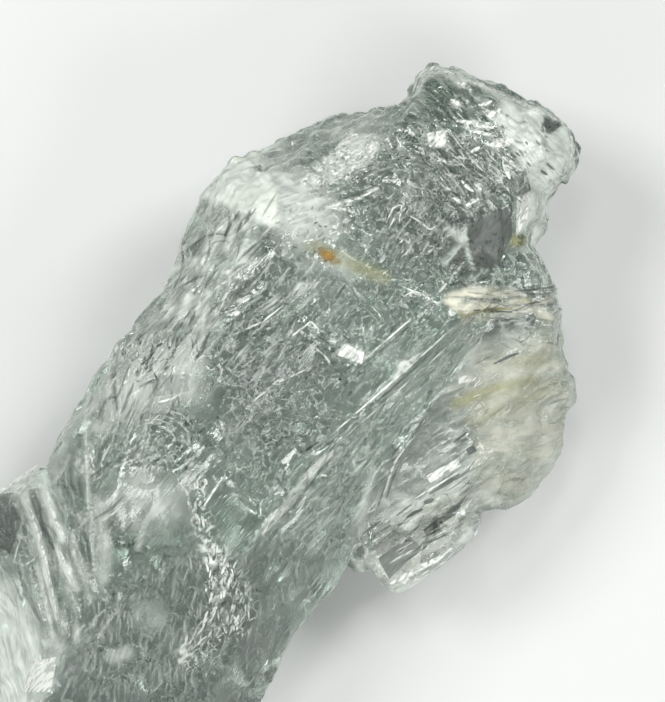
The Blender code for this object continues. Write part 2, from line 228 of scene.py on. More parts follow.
def soft_noise(points, size, seed=0):
    """Smooth noise from -1 to 1: random values on a lattice, blended between the eight corners
    around each point with an S-shaped weight."""
    spot = points / size
    cell = np.floor(spot).astype(np.int64)
    share = spot - cell
    share = share * share * (3.0 - 2.0 * share)
    total = np.zeros(len(points))
    for corner in itertools.product((0, 1), repeat=3):
        weight = np.prod(np.where(corner, share, 1.0 - share), axis=1)
        total += weight * scrambled(cell + np.array(corner), seed)
    return 2.0 * total - 1.0


def rough_noise(points, size, seed=0, layers=4):
    """Soft noise summed at halving sizes and strengths."""
    size = np.asarray(size, float)
    total = sum(soft_noise(points, size / 2**k, seed + k) / 2**k for k in range(layers))
    return total / (2.0 - 2.0 ** (1 - layers))


def scrambled_places(cell, seed):
    """Three fixed random numbers from 0 to 1 for each cell."""
    return np.stack([scrambled(cell, seed + k) for k in range(3)], axis=-1)


def seeds_around(points, size, seed):
    """One after another, the 27 cells in and around each point's own cell, and how far the point
    is, in cells, from a random seed in that cell."""
    spot = points / size
    home = np.floor(spot).astype(np.int64)
    for step in itertools.product((-1, 0, 1), repeat=3):
        cell = home + np.array(step)
        yield cell, spot - (cell + scrambled_places(cell, seed + 11))


def cell_distances(points, size, seed=0):
    """Distances, in cells, to the nearest and second nearest of one random seed in each cell."""
    first = np.full(len(points), FAR_AWAY)
    second = first.copy()
    for _, offset in seeds_around(points, size, seed):
        away = np.linalg.norm(offset, axis=1)
        second = np.minimum(second, np.maximum(first, away))
        first = np.minimum(first, away)
    return first, second


def facet_mosaic(points, size, seed, steepness):
    """Flat facets that lean at random: each point belongs to the nearest seed, and rises with its
    distance from that seed along the seed's own direction."""
    first = np.full(len(points), FAR_AWAY)
    rise = np.zeros(len(points))
    for cell, offset in seeds_around(points, size, seed):
        lean = 2.0 * scrambled_places(cell, seed + 14) - 1.0
        away = np.linalg.norm(offset, axis=1)
        rise = np.where(away < first, (offset * lean).sum(axis=1), rise)
        first = np.minimum(first, away)
    return steepness * rise * np.mean(size)


# %% Masks in the picture
def ramp(low, high, value):
    """0 below low, 1 above high, with an S-shaped rise between."""
    share = np.clip((value - low) / (high - low), 0.0, 1.0)
    return share * share * (3.0 - 2.0 * share)


def spot_mask(seen, centre, reach, tilt=0.0):
    """1 in the middle of an ellipse, falling to 0 at its edge; tilt is in degrees, upwards."""
    angle = math.radians(tilt)
    dx, dy = seen[0] - centre[0], seen[1] - centre[1]
    along = dx * math.cos(angle) - dy * math.sin(angle)
    across = dx * math.sin(angle) + dy * math.cos(angle)
    away = np.hypot(along / reach[0], across / reach[1])
    return 1.0 - ramp(0.35, 1.0, away)


def side_distance(seen, start, end):
    """Distance in pixels from each point to the straight line between two pixels."""
    (x0, y0), (x1, y1) = start, end
    dx, dy = x1 - x0, y1 - y0
    share = ((seen[0] - x0) * dx + (seen[1] - y0) * dy) / (dx * dx + dy * dy)
    share = np.clip(share, 0.0, 1.0)
    return np.hypot(seen[0] - x0 - share * dx, seen[1] - y0 - share * dy)


def line_mask(seen, points, half_width):
    """1 on a line through the points, falling to 0 at its half width."""
    nearest = np.min([side_distance(seen, *side) for side in zip(points, points[1:])], axis=0)
    return 1.0 - ramp(0.0, half_width, nearest)


def outline_mask(seen, corners, softness):
    """1 inside an outline and 0 outside, with a soft edge: the distance to the nearest side,
    counted positive where an odd number of sides lies to the right."""
    sides = list(zip(corners, corners[1:] + corners[:1]))
    nearest = np.min([side_distance(seen, *side) for side in sides], axis=0)
    inside = np.zeros(len(seen[0]), bool)
    for (x0, y0), (x1, y1) in sides:
        if y0 != y1:
            crosses = (y0 > seen[1]) != (y1 > seen[1])
            inside ^= crosses & (seen[0] < x0 + (seen[1] - y0) * (x1 - x0) / (y1 - y0))
    return ramp(-softness, softness, np.where(inside, nearest, -nearest))


# %% [markdown]
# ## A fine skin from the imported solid
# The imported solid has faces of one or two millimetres. Etching needs points every quarter of a
# millimetre, so a copy of the solid is wrapped in an even net of small squares. The copy's loose
# triangles are merged first, because wrapping needs a closed shape. A few rounds of averaging take
# away the net's tiny stairs.

# %% Wrap the solid in a fine net
NET_MM = 0.23
RELAX_ROUNDS = 3
RELAX_SHARE = 0.5


def fine_net(source, pitch_mm):
    """Points in mm and square faces of an even net around a closed mesh."""
    merged = bmesh.new()
    merged.from_mesh(source)
    bmesh.ops.remove_doubles(merged, verts=merged.verts, dist=1e-7)
    base = bpy.data.meshes.new("net base")
    merged.to_mesh(base)
    merged.free()
    holder = new_object("net base", base)
    wrap = holder.modifiers.new("wrap", "REMESH")
    wrap.mode = "VOXEL"
    wrap.voxel_size = pitch_mm * MM
    graph = bpy.context.evaluated_depsgraph_get()
    wrapped = bpy.data.meshes.new_from_object(holder.evaluated_get(graph))
    bpy.data.objects.remove(holder)
    points = np.empty(len(wrapped.vertices) * 3)
    wrapped.vertices.foreach_get("co", points)
    corners = np.empty(len(wrapped.loops), np.int64)
    wrapped.loops.foreach_get("vertex_index", corners)
    return points.reshape(-1, 3) / MM, corners.reshape(-1, 4)


skin_points, skin_faces = fine_net(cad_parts[CAD_NODE].data, NET_MM)
print("net points", len(skin_points), "squares", len(skin_faces))

# %% Averages and normals on the net
skin_edges = np.concatenate([skin_faces[:, [i, (i + 1) % 4]] for i in range(4)])
EDGE_COUNT = np.bincount(skin_edges[:, 0], minlength=len(skin_points))


def neighbour_mean(values):
    """Mean of each point's neighbours; each edge is met once from either end."""
    columns = values if values.ndim == 2 else values[:, None]
    near, far = skin_edges.T
    total = np.stack([np.bincount(near, column[far], len(skin_points)) for column in columns.T], axis=1)
    mean = total / EDGE_COUNT[:, None]
    return mean if values.ndim == 2 else mean[:, 0]


def net_normals(points):
    """Unit normals: the crossed diagonals of the squares around each point, summed."""
    a, b, c, d = (points[skin_faces[:, i]] for i in range(4))
    crossed = np.cross(c - a, d - b)
    total = np.stack(
        [sum(np.bincount(corner, axis, len(points)) for corner in skin_faces.T) for axis in crossed.T], axis=1
    )
    return total / np.linalg.norm(total, axis=1, keepdims=True)


for _ in range(RELAX_ROUNDS):
    skin_points += RELAX_SHARE * (neighbour_mean(skin_points) - skin_points)
skin_normals = net_normals(skin_points)
seen = seen_at(skin_points)
FACING_UP = (0.05, 0.4)
facing = ramp(*FACING_UP, skin_normals[:, 2])
x, y, z = skin_points.T
print("points that face the camera:", int((facing > 0.5).sum()))

# %% [markdown]
# ## Zones of the skin
# Each part of the stone was etched in its own way: the head is scalloped, the left flank is draped,
# the front face is stepped, the band beside the long edge is fibrous, and the lower-left break is
# ridged. One soft mask for each zone says where its relief belongs. Outlines that several finishes
# share are named here once.

# %% Outlines of the parts, in pixels
FLANK = [(130, 330), (165, 255), (215, 180), (262, 205), (250, 260), (200, 330)]
FRONT = [(200, 330), (265, 215), (440, 285), (455, 330), (270, 520), (215, 480)]
BAND = [(250, 545), (320, 450), (465, 325), (485, 330), (415, 440), (350, 560)]
BREAK = [(-60, 500), (40, 460), (92, 440), (104, 560), (100, 590), (50, 660), (-20, 760)]
LOWER_FACES = [(92, 445), (335, 430), (350, 560), (260, 720), (40, 720), (100, 590)]
SLAB = [(470, 345), (560, 320), (574, 385), (560, 455), (510, 512), (400, 592), (352, 560), (395, 470)]
MILKY_CORNER = [
    (202, 198), (212, 176), (228, 156), (256, 146), (266, 166),
    (276, 190), (280, 228), (258, 222), (234, 212), (216, 200),
]
BLOCK_FLAKE = [(150, 380), (186, 374), (189, 392), (154, 398)]
BREAK_CRESTS = [
    [(26, 493), (34, 520), (46, 560), (57, 617)],
    [(44, 480), (50, 503), (57, 524), (66, 538)],
    [(57, 545), (66, 565), (76, 588)],
    [(38, 566), (44, 592), (51, 622)],
]
CORNER_SPOT = ((222, 178), (52, 48), 40)
RIPPLE_SPOT = ((150, 440), (85, 60), 20)
RING_CENTRE = (118.0, 405.0)
TIP_SPOT = ((584, 150), (14, 42), 0)

# %% Zones
HEAD_START_MM = (13.0, 18.0)
SHOULDER_START_MM, SHOULDER_END_MM = (11.0, 14.0), (17.0, 21.0)
SLAB_SIDE_MM, SLAB_START_MM, SLAB_END_MM = (6.5, 8.5), (-3.5, -0.5), (20.0, 22.0)
HEAD_SLANT = 0.25
towards_head = y - HEAD_SLANT * x
head_zone = ramp(*HEAD_START_MM, towards_head)
shoulder_zone = ramp(*SHOULDER_START_MM, towards_head) * (1.0 - ramp(*SHOULDER_END_MM, towards_head))
flank_zone = outline_mask(seen, FLANK, 14) * facing
front_zone = outline_mask(seen, FRONT, 16) * facing
band_zone = outline_mask(seen, BAND, 8) * facing
slab_zone = ramp(*SLAB_SIDE_MM, x) * ramp(*SLAB_START_MM, y) * (1.0 - ramp(*SLAB_END_MM, y))
break_zone = outline_mask(seen, BREAK, 6) * facing
ripple_zone = spot_mask(seen, *RIPPLE_SPOT) * facing
calm_zone = outline_mask(seen, LOWER_FACES, 14) * facing
zones = {"head": head_zone, "flank": flank_zone, "front": front_zone, "band": band_zone,
         "slab": slab_zone, "break": break_zone, "ripple": ripple_zone, "calm": calm_zone}
print({name: int((zone > 0.5).sum()) for name, zone in zones.items()})

# %% [markdown]
# ## Relief
# A relief is a height in millimetres for every point, which moves it along its normal. Real etching
# is a sum of simple habits: rounded scallops are distances to random seeds, draped folds are bent
# waves, conchoidal ripples are rings round the point of the blow, and growth steps are flat facets
# that lean at random. They could be cut into the solid, but they are finer than its faces.

# %% Waves and directions
def bent_wave(phase, sharpness):
    """Ridges from 0 to 1, one to each whole phase; more sharpness makes them narrower."""
    return (0.5 + 0.5 * np.cos(2.0 * math.pi * phase)) ** sharpness


def slanted(points, degrees, stretch):
    """Points with x and y turned to a direction measured from Y towards X, and y squeezed."""
    angle = math.radians(degrees)
    along = points[:, 0] * math.sin(angle) + points[:, 1] * math.cos(angle)
    across = points[:, 0] * math.cos(angle) - points[:, 1] * math.sin(angle)
    return np.stack([across, along / stretch, points[:, 2]], axis=1)


bend = rough_noise(skin_points, 3.2, 5, 3)
column, row = seen

# %% Scallops and facets
SCALLOPS = [
    # direction in degrees, stretch, size in mm, seed, height in mm
    (92.0, 1.8, 1.15, 21, 0.42),
    (100.0, 1.6, 0.60, 31, 0.14),
]
SCALLOP_MIDDLE = 0.35
WARP_MM = 0.11
scallops = 0.0
for degrees, stretch, size, seed, rise in SCALLOPS:
    nearest, next_nearest = cell_distances(slanted(skin_points, degrees, stretch), size, seed)
    scallops = scallops + rise * (next_nearest - nearest - SCALLOP_MIDDLE)

warp = np.stack([rough_noise(skin_points, 1.7, seed, 2) for seed in (44, 46, 48)], axis=1)
warped = skin_points + WARP_MM * warp


def drawn_facets(degrees, stretch, size, seed, steepness):
    """Facets that are drawn out along a direction, with slightly bent edges."""
    return facet_mosaic(slanted(warped, degrees, stretch), size, seed, steepness)


terraces = drawn_facets(2.0, 2.2, 2.6, 41, 0.21) + drawn_facets(50.0, 1.9, 1.7, 45, 0.06)

# %% Folds, fibres, ridges and rings
FOLD_MM, FOLD_PX = 0.26, (15.0, 7.0)
FIBRE_MM, FIBRE_PITCH_MM, FIBRE_DEGREES = 0.10, 0.8, 7.0
SLAB_GRAIN_MM, SLAB_GRAIN_PITCH_MM, SLAB_DEGREES = (0.14, 0.06), 0.75, 13.0
RING_MM, RING_PX = 0.07, 9.5
RIDGE_MM, RIDGE_PX = (0.38, 0.04), 19.0
SWIRL_MM, SWIRLS_EACH = (0.055, 0.015), (3.5, 9.0)

drape = bent_wave((0.86 * column + 0.50 * row) / FOLD_PX[0] + 1.3 * bend, 1.6)
drape += 0.5 * bent_wave((0.9 * column + 0.43 * row) / FOLD_PX[1] + 1.9 * bend, 1.4)
folds = FOLD_MM * (drape - 0.6)

fibre_across = slanted(skin_points, FIBRE_DEGREES, 1.0)[:, 0] / FIBRE_PITCH_MM
fibres = FIBRE_MM * rough_noise(slanted(skin_points, 4.0, 14.0), 0.55, 51, 3)
fibres += FIBRE_MM * bent_wave(fibre_across + 0.8 * bend, 2.0)

slab_across = slanted(skin_points, SLAB_DEGREES, 1.0)[:, 0] / SLAB_GRAIN_PITCH_MM
slab_grain = SLAB_GRAIN_MM[0] * rough_noise(slanted(skin_points, SLAB_DEGREES, 4.0), 1.1, 61, 4)
slab_grain += SLAB_GRAIN_MM[1] * bent_wave(slab_across + 0.9 * bend, 2.0)

ring_distance = np.hypot(column - RING_CENTRE[0], (row - RING_CENTRE[1]) * 1.25)
rings = RING_MM * bent_wave(ring_distance / RING_PX + 0.7 * bend, 1.3)

drop = (0.96 * column - 0.28 * row) / RIDGE_PX
ridges = RIDGE_MM[0] * bent_wave(drop + 0.25 * bend, 1.3)
ridges = ridges + RIDGE_MM[1] * bent_wave(2.6 * drop + 0.8 * bend, 1.5)

swirl_field = rough_noise(slanted(skin_points, 20.0, 1.3), 3.6, 65, 3)
swirls = SWIRL_MM[0] * bent_wave(SWIRLS_EACH[0] * swirl_field, 1.2)
swirls = swirls + SWIRL_MM[1] * bent_wave(SWIRLS_EACH[1] * swirl_field + bend, 1.2)

# %% Unevenness everywhere, and hollows where the stone rests
UNEVEN_MM = (0.20, 0.03)
HOLLOW_MM, HOLLOW_NOISE_MM = 0.15, 0.45
everywhere = UNEVEN_MM[0] * rough_noise(skin_points, 2.6, 71, 3)
everywhere = everywhere + UNEVEN_MM[1] * rough_noise(skin_points, 0.8, 75, 2)
everywhere += drawn_facets(0.0, 2.4, 2.4, 77, 0.15)
hollow_noise = ramp(-0.3, 0.5, rough_noise(skin_points, 3.4, 85, 3))
hollows = -HOLLOW_MM + facet_mosaic(skin_points, 2.6, 81, 0.75)
hollows = np.minimum(hollows - HOLLOW_NOISE_MM * hollow_noise, 0.0)

# %% Push the skin out by the relief
RESTING_MM = (0.1, 1.2)
DEEPEST_MM = 0.8
OUT_ON_SIDES_MM, OUT_ON_TOP_MM = 0.06, 0.30
TIP_TRIM_MM = 0.30
swirl_zone = np.clip(0.3 * front_zone + 0.15 * ripple_zone + 0.7 * shoulder_zone * facing, 0.0, 1.0)
height = head_zone * scallops + 0.55 * shoulder_zone * facing * scallops
height += flank_zone * folds + front_zone * terraces + band_zone * fibres
height += slab_zone * slab_grain + ripple_zone * rings + break_zone * ridges + swirl_zone * swirls
smoother = 0.75 * np.max([front_zone, ripple_zone, calm_zone], axis=0)
height += everywhere * (1.0 - smoother) * (1.0 - 0.5 * break_zone)
height -= TIP_TRIM_MM * spot_mask(seen, *TIP_SPOT)
off_floor = ramp(*RESTING_MM, z)
out_limit = OUT_ON_SIDES_MM + (OUT_ON_TOP_MM - OUT_ON_SIDES_MM) * np.abs(skin_normals[:, 2])
height = np.clip(height, -DEEPEST_MM, out_limit) * off_floor + hollows * (1.0 - off_floor)
skin_points = skin_points + skin_normals * height[:, None]
skin_points[:, 2] = np.maximum(skin_points[:, 2], 0.0)
skin_normals = net_normals(skin_points)
crest = ((skin_points - neighbour_mean(skin_points)) * skin_normals).sum(axis=1)
print("relief from", round(height.min(), 2), "to", round(height.max(), 2), "mm")
print("crest, low and high:", np.percentile(crest, [2, 25, 75, 98]).round(3))

# %% [markdown]
# ## Mesh pieces from arrays
# All pieces go through one function: it writes points in millimetres into a mesh in metres, adds
# any numbers that the material reads per point, and lets the piece ride on the stone.

# %% One way to make a piece
def make_piece(name, points, faces, material, slot, **numbers):
    """A smooth mesh object from points in mm; each extra array becomes a named attribute."""
    mesh = bpy.data.meshes.new(name)
    mesh.from_pydata((points * MM).tolist(), [], faces.tolist())
    for label, values in numbers.items():
        kind, field = ("FLOAT", "value") if values.ndim == 1 else ("FLOAT_VECTOR", "vector")
        attribute = mesh.attributes.new(label, kind, "POINT")
        attribute.data.foreach_set(field, np.ascontiguousarray(values, np.float32).ravel())
    mesh.polygons.foreach_set("use_smooth", np.ones(len(mesh.polygons), bool))
    mesh.materials.append(material)
    piece = new_object(name, mesh)
    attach(piece, BODY)
    print(name, "has", len(faces), "faces")
    return piece


# %% [markdown]
# ## Finishes shared by several pieces
# Two effects repeat over the stone. Etch grain is the fine striation along the prism, far finer
# than the net, so it is a bump height. Threads are the thin white lines and wisps of healed cracks.
# Both are node groups that read places in millimetres. They could be painted pictures, but noise
# that is worked out from the place stays sharp at any distance and needs no unwrapping.

# %% Node helpers
def new_group(name, numbers, outputs):
    """A shader node group that takes a place and some numbers, and puts out numbers."""
    group = bpy.data.node_groups.new(name, "ShaderNodeTree")
    group.interface.new_socket("Vector", in_out="INPUT", socket_type="NodeSocketVector")
    for label in numbers:
        group.interface.new_socket(label, in_out="INPUT", socket_type="NodeSocketFloat")
    for label in outputs:
        group.interface.new_socket(label, in_out="OUTPUT", socket_type="NodeSocketFloat")
    return group, group.nodes.new("NodeGroupInput"), group.nodes.new("NodeGroupOutput")


def add_node(tree, kind, settings=None, **inputs):
    """A node with its settings, and its inputs set to values or linked to sockets."""
    node = tree.nodes.new(kind)
    for label, value in (settings or {}).items():
        setattr(node, label, value)
    for label, value in inputs.items():
        key = int(label[2:]) if label.startswith("in") and label[2:].isdigit() else label.replace("_", " ")
        if isinstance(value, bpy.types.NodeSocket):
            tree.links.new(value, node.inputs[key])
        else:
            node.inputs[key].default_value = value
    return node


def maths(tree, operation, first, second=0.0, clamp=False):
    """The output socket of one sum, product or the like."""
    settings = {"operation": operation, "use_clamp": clamp}
    return add_node(tree, "ShaderNodeMath", settings, in0=first, in1=second).outputs[0]


def noise(tree, place, scale, detail, roughness=0.5):
    """The output socket of a noise, from 0 to 1."""
    inputs = {"Vector": place, "Scale": scale, "Detail": detail, "Roughness": roughness}
    return add_node(tree, "ShaderNodeTexNoise", **inputs).outputs["Fac"]


def rescaled(tree, value, low, high, to_low=0.0, to_high=1.0):
    """A value moved from one range to another, and held inside it."""
    ranges = {"From_Min": low, "From_Max": high, "To_Min": to_low, "To_Max": to_high}
    return add_node(tree, "ShaderNodeMapRange", Value=value, **ranges).outputs[0]


def blended(tree, share, dark, light):
    """A colour between two, by a share from 0 to 1."""
    return add_node(tree, "ShaderNodeMix", {"data_type": "RGBA"}, in0=share, in6=dark, in7=light).outputs[2]


def per_point(tree, label, output="Fac"):
    """The numbers of one attribute of the mesh."""
    return add_node(tree, "ShaderNodeAttribute", {"attribute_name": label}).outputs[output]


def new_material(name, squeeze=1.0):
    """A material, its node tree, its shader, and places in mm for its patterns. A squeeze below 1
    draws the patterns out along the prism."""
    material = bpy.data.materials.new(name)
    material.use_nodes = True
    tree = material.node_tree
    place = add_node(tree, "ShaderNodeTexCoord").outputs["Object"]
    in_mm = add_node(tree, "ShaderNodeMapping", Vector=place, Scale=(1 / MM, squeeze / MM, 1 / MM))
    return material, tree, tree.nodes["Principled BSDF"], in_mm.outputs[0]


# %% Etch grain
grain_group, grain_in, grain_out = new_group("etch grain", [], ["Height"])
drawn_out = add_node(
    grain_group, "ShaderNodeMapping", Vector=grain_in.outputs["Vector"], Scale=(1.0, 0.16, 1.0)
)
striae = noise(grain_group, drawn_out.outputs[0], 5.5, 1.0, 0.65)
grain_group.links.new(striae, grain_out.inputs["Height"])

# %% Threads
thread_group, thread_in, thread_out = new_group("white threads", ["Scale", "Width"], ["Threads", "Wisps"])
thread_place = thread_in.outputs["Vector"]
thread_noise = noise(thread_group, thread_place, thread_in.outputs["Scale"], 3.0, 0.62)
off_line = maths(thread_group, "ABSOLUTE", maths(thread_group, "SUBTRACT", thread_noise, 0.5))
off_share = maths(thread_group, "DIVIDE", off_line, thread_in.outputs["Width"])
threads = maths(thread_group, "SUBTRACT", 1.0, off_share, True)
wisps = rescaled(thread_group, noise(thread_group, thread_place, 2.1, 3.0, 0.7), 0.42, 0.60)
thread_group.links.new(threads, thread_out.inputs["Threads"])
thread_group.links.new(wisps, thread_out.inputs["Wisps"])


def thread_pattern(tree, place, scale, width):
    """The threads and wisps of the thread group, for a material."""
    return add_node(
        tree, "ShaderNodeGroup", {"node_tree": thread_group}, Vector=place, Scale=scale, Width=width
    )


# %% [markdown]
# ## Clear beryl
# Beryl bends light with an index of 1.57. The tint isn't painted on: light loses red on its way
# through, so thick parts are deeper in colour than thin ones. The skin is clear where it is smooth
# and slightly frosted where it is etched, which a per-point number from the arrays tells.

# %% The beryl and its skin
BERYL_INDEX = 1.57
TINT = (0.36, 0.60, 0.44, 1.0)
TINT_DENSITY = 29.0
BUMP_MM = 0.04

beryl, tree, shader, in_mm = new_material("clear beryl")
shader.inputs["IOR"].default_value = BERYL_INDEX
shader.inputs["Transmission Weight"].default_value = 1.0
shader.inputs["Base Color"].default_value = (0.97, 0.985, 0.98, 1.0)
etched = per_point(tree, "etched")
roughness = maths(tree, "ADD", maths(tree, "MULTIPLY", etched, 0.30), 0.01, True)
tree.links.new(roughness, shader.inputs["Roughness"])
grain = add_node(tree, "ShaderNodeGroup", {"node_tree": grain_group}, Vector=in_mm)
bump_share = maths(tree, "ADD", maths(tree, "MULTIPLY", etched, 0.8), 0.4)
bump_height = maths(tree, "MULTIPLY", grain.outputs["Height"], bump_share)
bump = add_node(tree, "ShaderNodeBump", Strength=1.0, Distance=BUMP_MM * MM, Height=bump_height)
tree.links.new(bump.outputs[0], shader.inputs["Normal"])
loss = add_node(tree, "ShaderNodeVolumeAbsorption", Color=TINT, Density=TINT_DENSITY)
tree.links.new(loss.outputs[0], tree.nodes["Material Output"].inputs["Volume"])

haze = ramp(-0.25, 0.45, rough_noise(skin_points, 2.2, 91, 4))
rough_zones = 0.5 * (calm_zone + flank_zone + band_zone + slab_zone + break_zone)
rough_zones += 0.1 * head_zone + 0.3 * front_zone
etched_share = haze * np.clip(0.45 + rough_zones, 0.0, 1.0)
crystal = make_piece("crystal_skin", skin_points, skin_faces, beryl, "beryl", etched=etched_share)
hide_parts(CAD_NODE)

# %% [markdown]
# ## Marks in the skin
# Frost, white threads, painted glints and painted shade follow the skin, so they are one sheet of
# the same net, a hundredth of a millimetre proud of it, where the lamps reach it without passing
# through glass. The dark marks are painted shade, not a dark colour of the stone. How strong each
# is at a point is worked out from where the point is seen. Frost also gathers on crests, and painted
# shade darkens the creases of the break. Streaks follow the growth, so their noise is drawn out
# along the direction of each zone.

# %% Patches of the skin
LEAST_STRENGTH = 0.1
DARKER, LIGHTER = 0.72, 1.25


def painted(marks):
    """At each point, the strongest of the marks. A mark is a strength, a mask and its values."""
    strongest = np.zeros(len(skin_points))
    for strength, mask, *values in marks:
        strongest = np.maximum(strongest, strength * mask(seen, *values))
    return strongest * facing


def skin_patch(name, strength, lift, material, slot, **numbers):
    """The squares of the skin net where a mark is felt, moved outwards along the normals."""
    kept = skin_faces[strength[skin_faces].max(axis=1) > LEAST_STRENGTH]
    used, corners = np.unique(kept, return_inverse=True)
    points = skin_points[used] + lift * skin_normals[used]
    numbers = {label: values[used] for label, values in numbers.items()}
    faces = corners.reshape(-1, 4)
    return make_piece(name, points, faces, material, slot, strength=strength[used], **numbers)


def strength_material(name, colour, roughness):
    """A matt finish in one tone of mineral, whose alpha is the strength at each point and whose
    tone varies with a fine noise."""
    material, tree, shader, in_mm = new_material(name)
    shader.inputs["Roughness"].default_value = roughness
    dark = (*[DARKER * share for share in colour], 1.0)
    light = (*[min(LIGHTER * share, 1.0) for share in colour], 1.0)
    tone = blended(tree, noise(tree, in_mm, 2.4, 2.0), dark, light)
    tree.links.new(tone, shader.inputs["Base Color"])
    tree.links.new(per_point(tree, "strength"), shader.inputs["Alpha"])
    return material


# %% White milk and frost
MILK_MARKS = [
    # strength, mask, and the mask's values in pixels
    (1.35, outline_mask, MILKY_CORNER, 7),
    (0.60, outline_mask, [(258, 150), (300, 168), (336, 200), (340, 240), (300, 248), (266, 226)], 20),
    (0.80, line_mask, [(262, 148), (290, 132), (300, 130)], 7),
    (0.85, outline_mask, [(0, 492), (36, 466), (40, 474), (26, 492), (8, 494)], 3),
    (0.85, outline_mask, [(30, 662), (57, 657), (50, 690), (24, 692)], 4),
    (0.78, outline_mask, [(-60, 575), (20, 580), (46, 636), (34, 720), (-80, 740)], 18),
    (0.85, line_mask, BREAK_CRESTS[0], 8),
    (0.82, line_mask, BREAK_CRESTS[1], 10),
    (0.85, line_mask, BREAK_CRESTS[2], 8),
    (0.65, line_mask, BREAK_CRESTS[3], 6),
    (0.34, spot_mask, (113, 657), (13, 12), 0),
    (0.34, spot_mask, (126, 653), (12, 12), 0),
    (0.16, spot_mask, (150, 615), (26, 22), 0),
    (0.32, spot_mask, (146, 502), (56, 50), 0),
    (0.55, line_mask, [(144, 528), (138, 548)], 5),
    (0.42, line_mask, [(96, 500), (106, 545), (103, 578)], 12),
    (0.95, line_mask, [(357, 562), (366, 578), (378, 589), (392, 591), (425, 576), (468, 546), (482, 528)],
     9),
    (0.55, line_mask, [(545, 268), (560, 300), (563, 345), (572, 375), (568, 420), (556, 458), (515, 505)],
     12),
    (0.80, line_mask, [(560, 122), (572, 142), (566, 172), (545, 200), (532, 240)], 13),
    (0.78, outline_mask, [(500, 98), (540, 110), (556, 124), (566, 150), (572, 175), (548, 202),
     (530, 190), (518, 160), (500, 128)], 10),
    (0.55, outline_mask, [(92, 440), (125, 345), (206, 335), (200, 400), (150, 412)], 18),
    (0.85, outline_mask, [(516, 196), (538, 192), (538, 220), (520, 236)], 4),
    (0.80, line_mask, [(446, 262), (460, 246), (466, 230)], 5),
    (0.65, line_mask, [(450, 230), (458, 234), (463, 242)], 9),
    (0.80, line_mask, [(465, 232), (469, 252), (473, 268)], 3.5),
    (0.70, line_mask, [(416, 92), (424, 72), (440, 70), (456, 78)], 7),
    (0.55, line_mask, [(440, 68), (480, 82), (520, 104), (556, 118)], 7),
    (0.60, spot_mask, (461, 83), (7, 6), 0),
    (0.60, spot_mask, (456, 103), (8, 6), 0),
    (0.55, outline_mask, BLOCK_FLAKE, 4),
    (0.50, line_mask, [(372, 470), (352, 545)], 12),
    (0.60, line_mask, [(110, 350), (109, 380), (112, 410)], 4.0),
    (0.55, line_mask, [(121, 352), (119, 380), (122, 405)], 4.0),
    (0.60, line_mask, [(88, 392), (86, 440), (90, 515), (95, 573)], 4.0),
]
FROST_MARKS = [
    (1.50, spot_mask, (245, 184), (48, 38), -20),
    (0.75, line_mask, [(245, 195), (290, 225), (335, 262)], 36),
    (0.62, outline_mask, [(215, 160), (262, 140), (385, 100), (392, 140), (300, 190), (250, 220)], 14),
    (0.70, line_mask, [(302, 184), (340, 162), (378, 142)], 20),
    (0.74, outline_mask, [(165, 270), (205, 200), (262, 205), (250, 270), (215, 320), (130, 420),
     (95, 440), (80, 410)], 14),
    (0.85, line_mask, [(122, 392), (150, 366), (192, 350)], 28),
    (0.55, outline_mask, BLOCK_FLAKE, 4),
    (0.80, line_mask, [(558, 135), (545, 185), (533, 225), (528, 245)], 15),
    (0.95, line_mask, [(28, 478), (60, 520), (90, 595)], 8),
    (0.75, line_mask, [(48, 482), (74, 535), (88, 580)], 7),
    (0.70, line_mask, [(20, 505), (48, 548), (70, 600), (78, 640)], 8),
    (0.60, line_mask, [(10, 560), (38, 600), (58, 645)], 9),
    (0.70, outline_mask, [(-60, 610), (30, 595), (62, 645), (40, 720), (-90, 740)], 16),
    (0.70, outline_mask, [(-10, 495), (40, 462), (46, 476), (5, 505)], 6),
    (0.95, outline_mask, [(30, 662), (56, 656), (48, 690), (24, 690)], 4),
    (0.62, outline_mask, SLAB, 12),
    (0.75, spot_mask, (535, 430), (55, 80), 50),
    (0.40, spot_mask, (186, 657), (18, 12), 0),
    (0.35, line_mask, [(100, 470), (106, 560), (100, 590)], 12),
    # A painted highlight on the small bright face.
    (1.20, outline_mask, [(343, 344), (364, 351), (362, 363), (337, 355)], 1.5),
    (1.00, spot_mask, (236, 313), (5, 5), 0),
    (0.60, line_mask, [(355, 562), (372, 580), (392, 590), (430, 575), (474, 530)], 8),
    (0.50, line_mask, [(395, 470), (360, 540)], 12),
]

# %% How strong the white is
RIM_UP = (0.05, 0.55)
RIM_HEIGHT_MM, HEAD_RIM_HEIGHT_MM = (1.5, 6.0), (0.2, 1.5)
RIM_FROST_AND_HIGHLIGHT = 0.78
CREST_MM, CREASE_MM = (0.008, 0.035), (0.010, 0.040)
# The white on steep sides is frost, and partly a painted highlight of the bright rims.
rim = 1.0 - ramp(*RIM_UP, np.abs(skin_normals[:, 2]))
rim_frost_and_highlight = rim * np.maximum(ramp(*RIM_HEIGHT_MM, z), head_zone * ramp(*HEAD_RIM_HEIGHT_MM, z))
corner_zone = spot_mask(seen, *CORNER_SPOT)
frost_and_glint_strength = np.maximum(painted(FROST_MARKS), RIM_FROST_AND_HIGHLIGHT * rim_frost_and_highlight)
sharp = ramp(*CREST_MM, crest)
crest_share = 0.06 + 0.75 * flank_zone + 0.40 * break_zone + 0.25 * ripple_zone + 0.15 * slab_zone
frost_and_glint_strength = np.maximum(frost_and_glint_strength * (0.45 + 0.75 * haze), crest_share * sharp * off_floor)
wispy = 0.35 + 0.75 * ramp(-0.3, 0.5, rough_noise(skin_points, 0.9, 97, 3))
# Painted glints: white specks where small facets catch the lamps.
glint_places = np.stack([column - 0.6 * row, 1.5 * row, 0.0 * row], axis=1)
glint_noise = rough_noise(glint_places, (7.0, 5.0, 9.0), 101, 2)
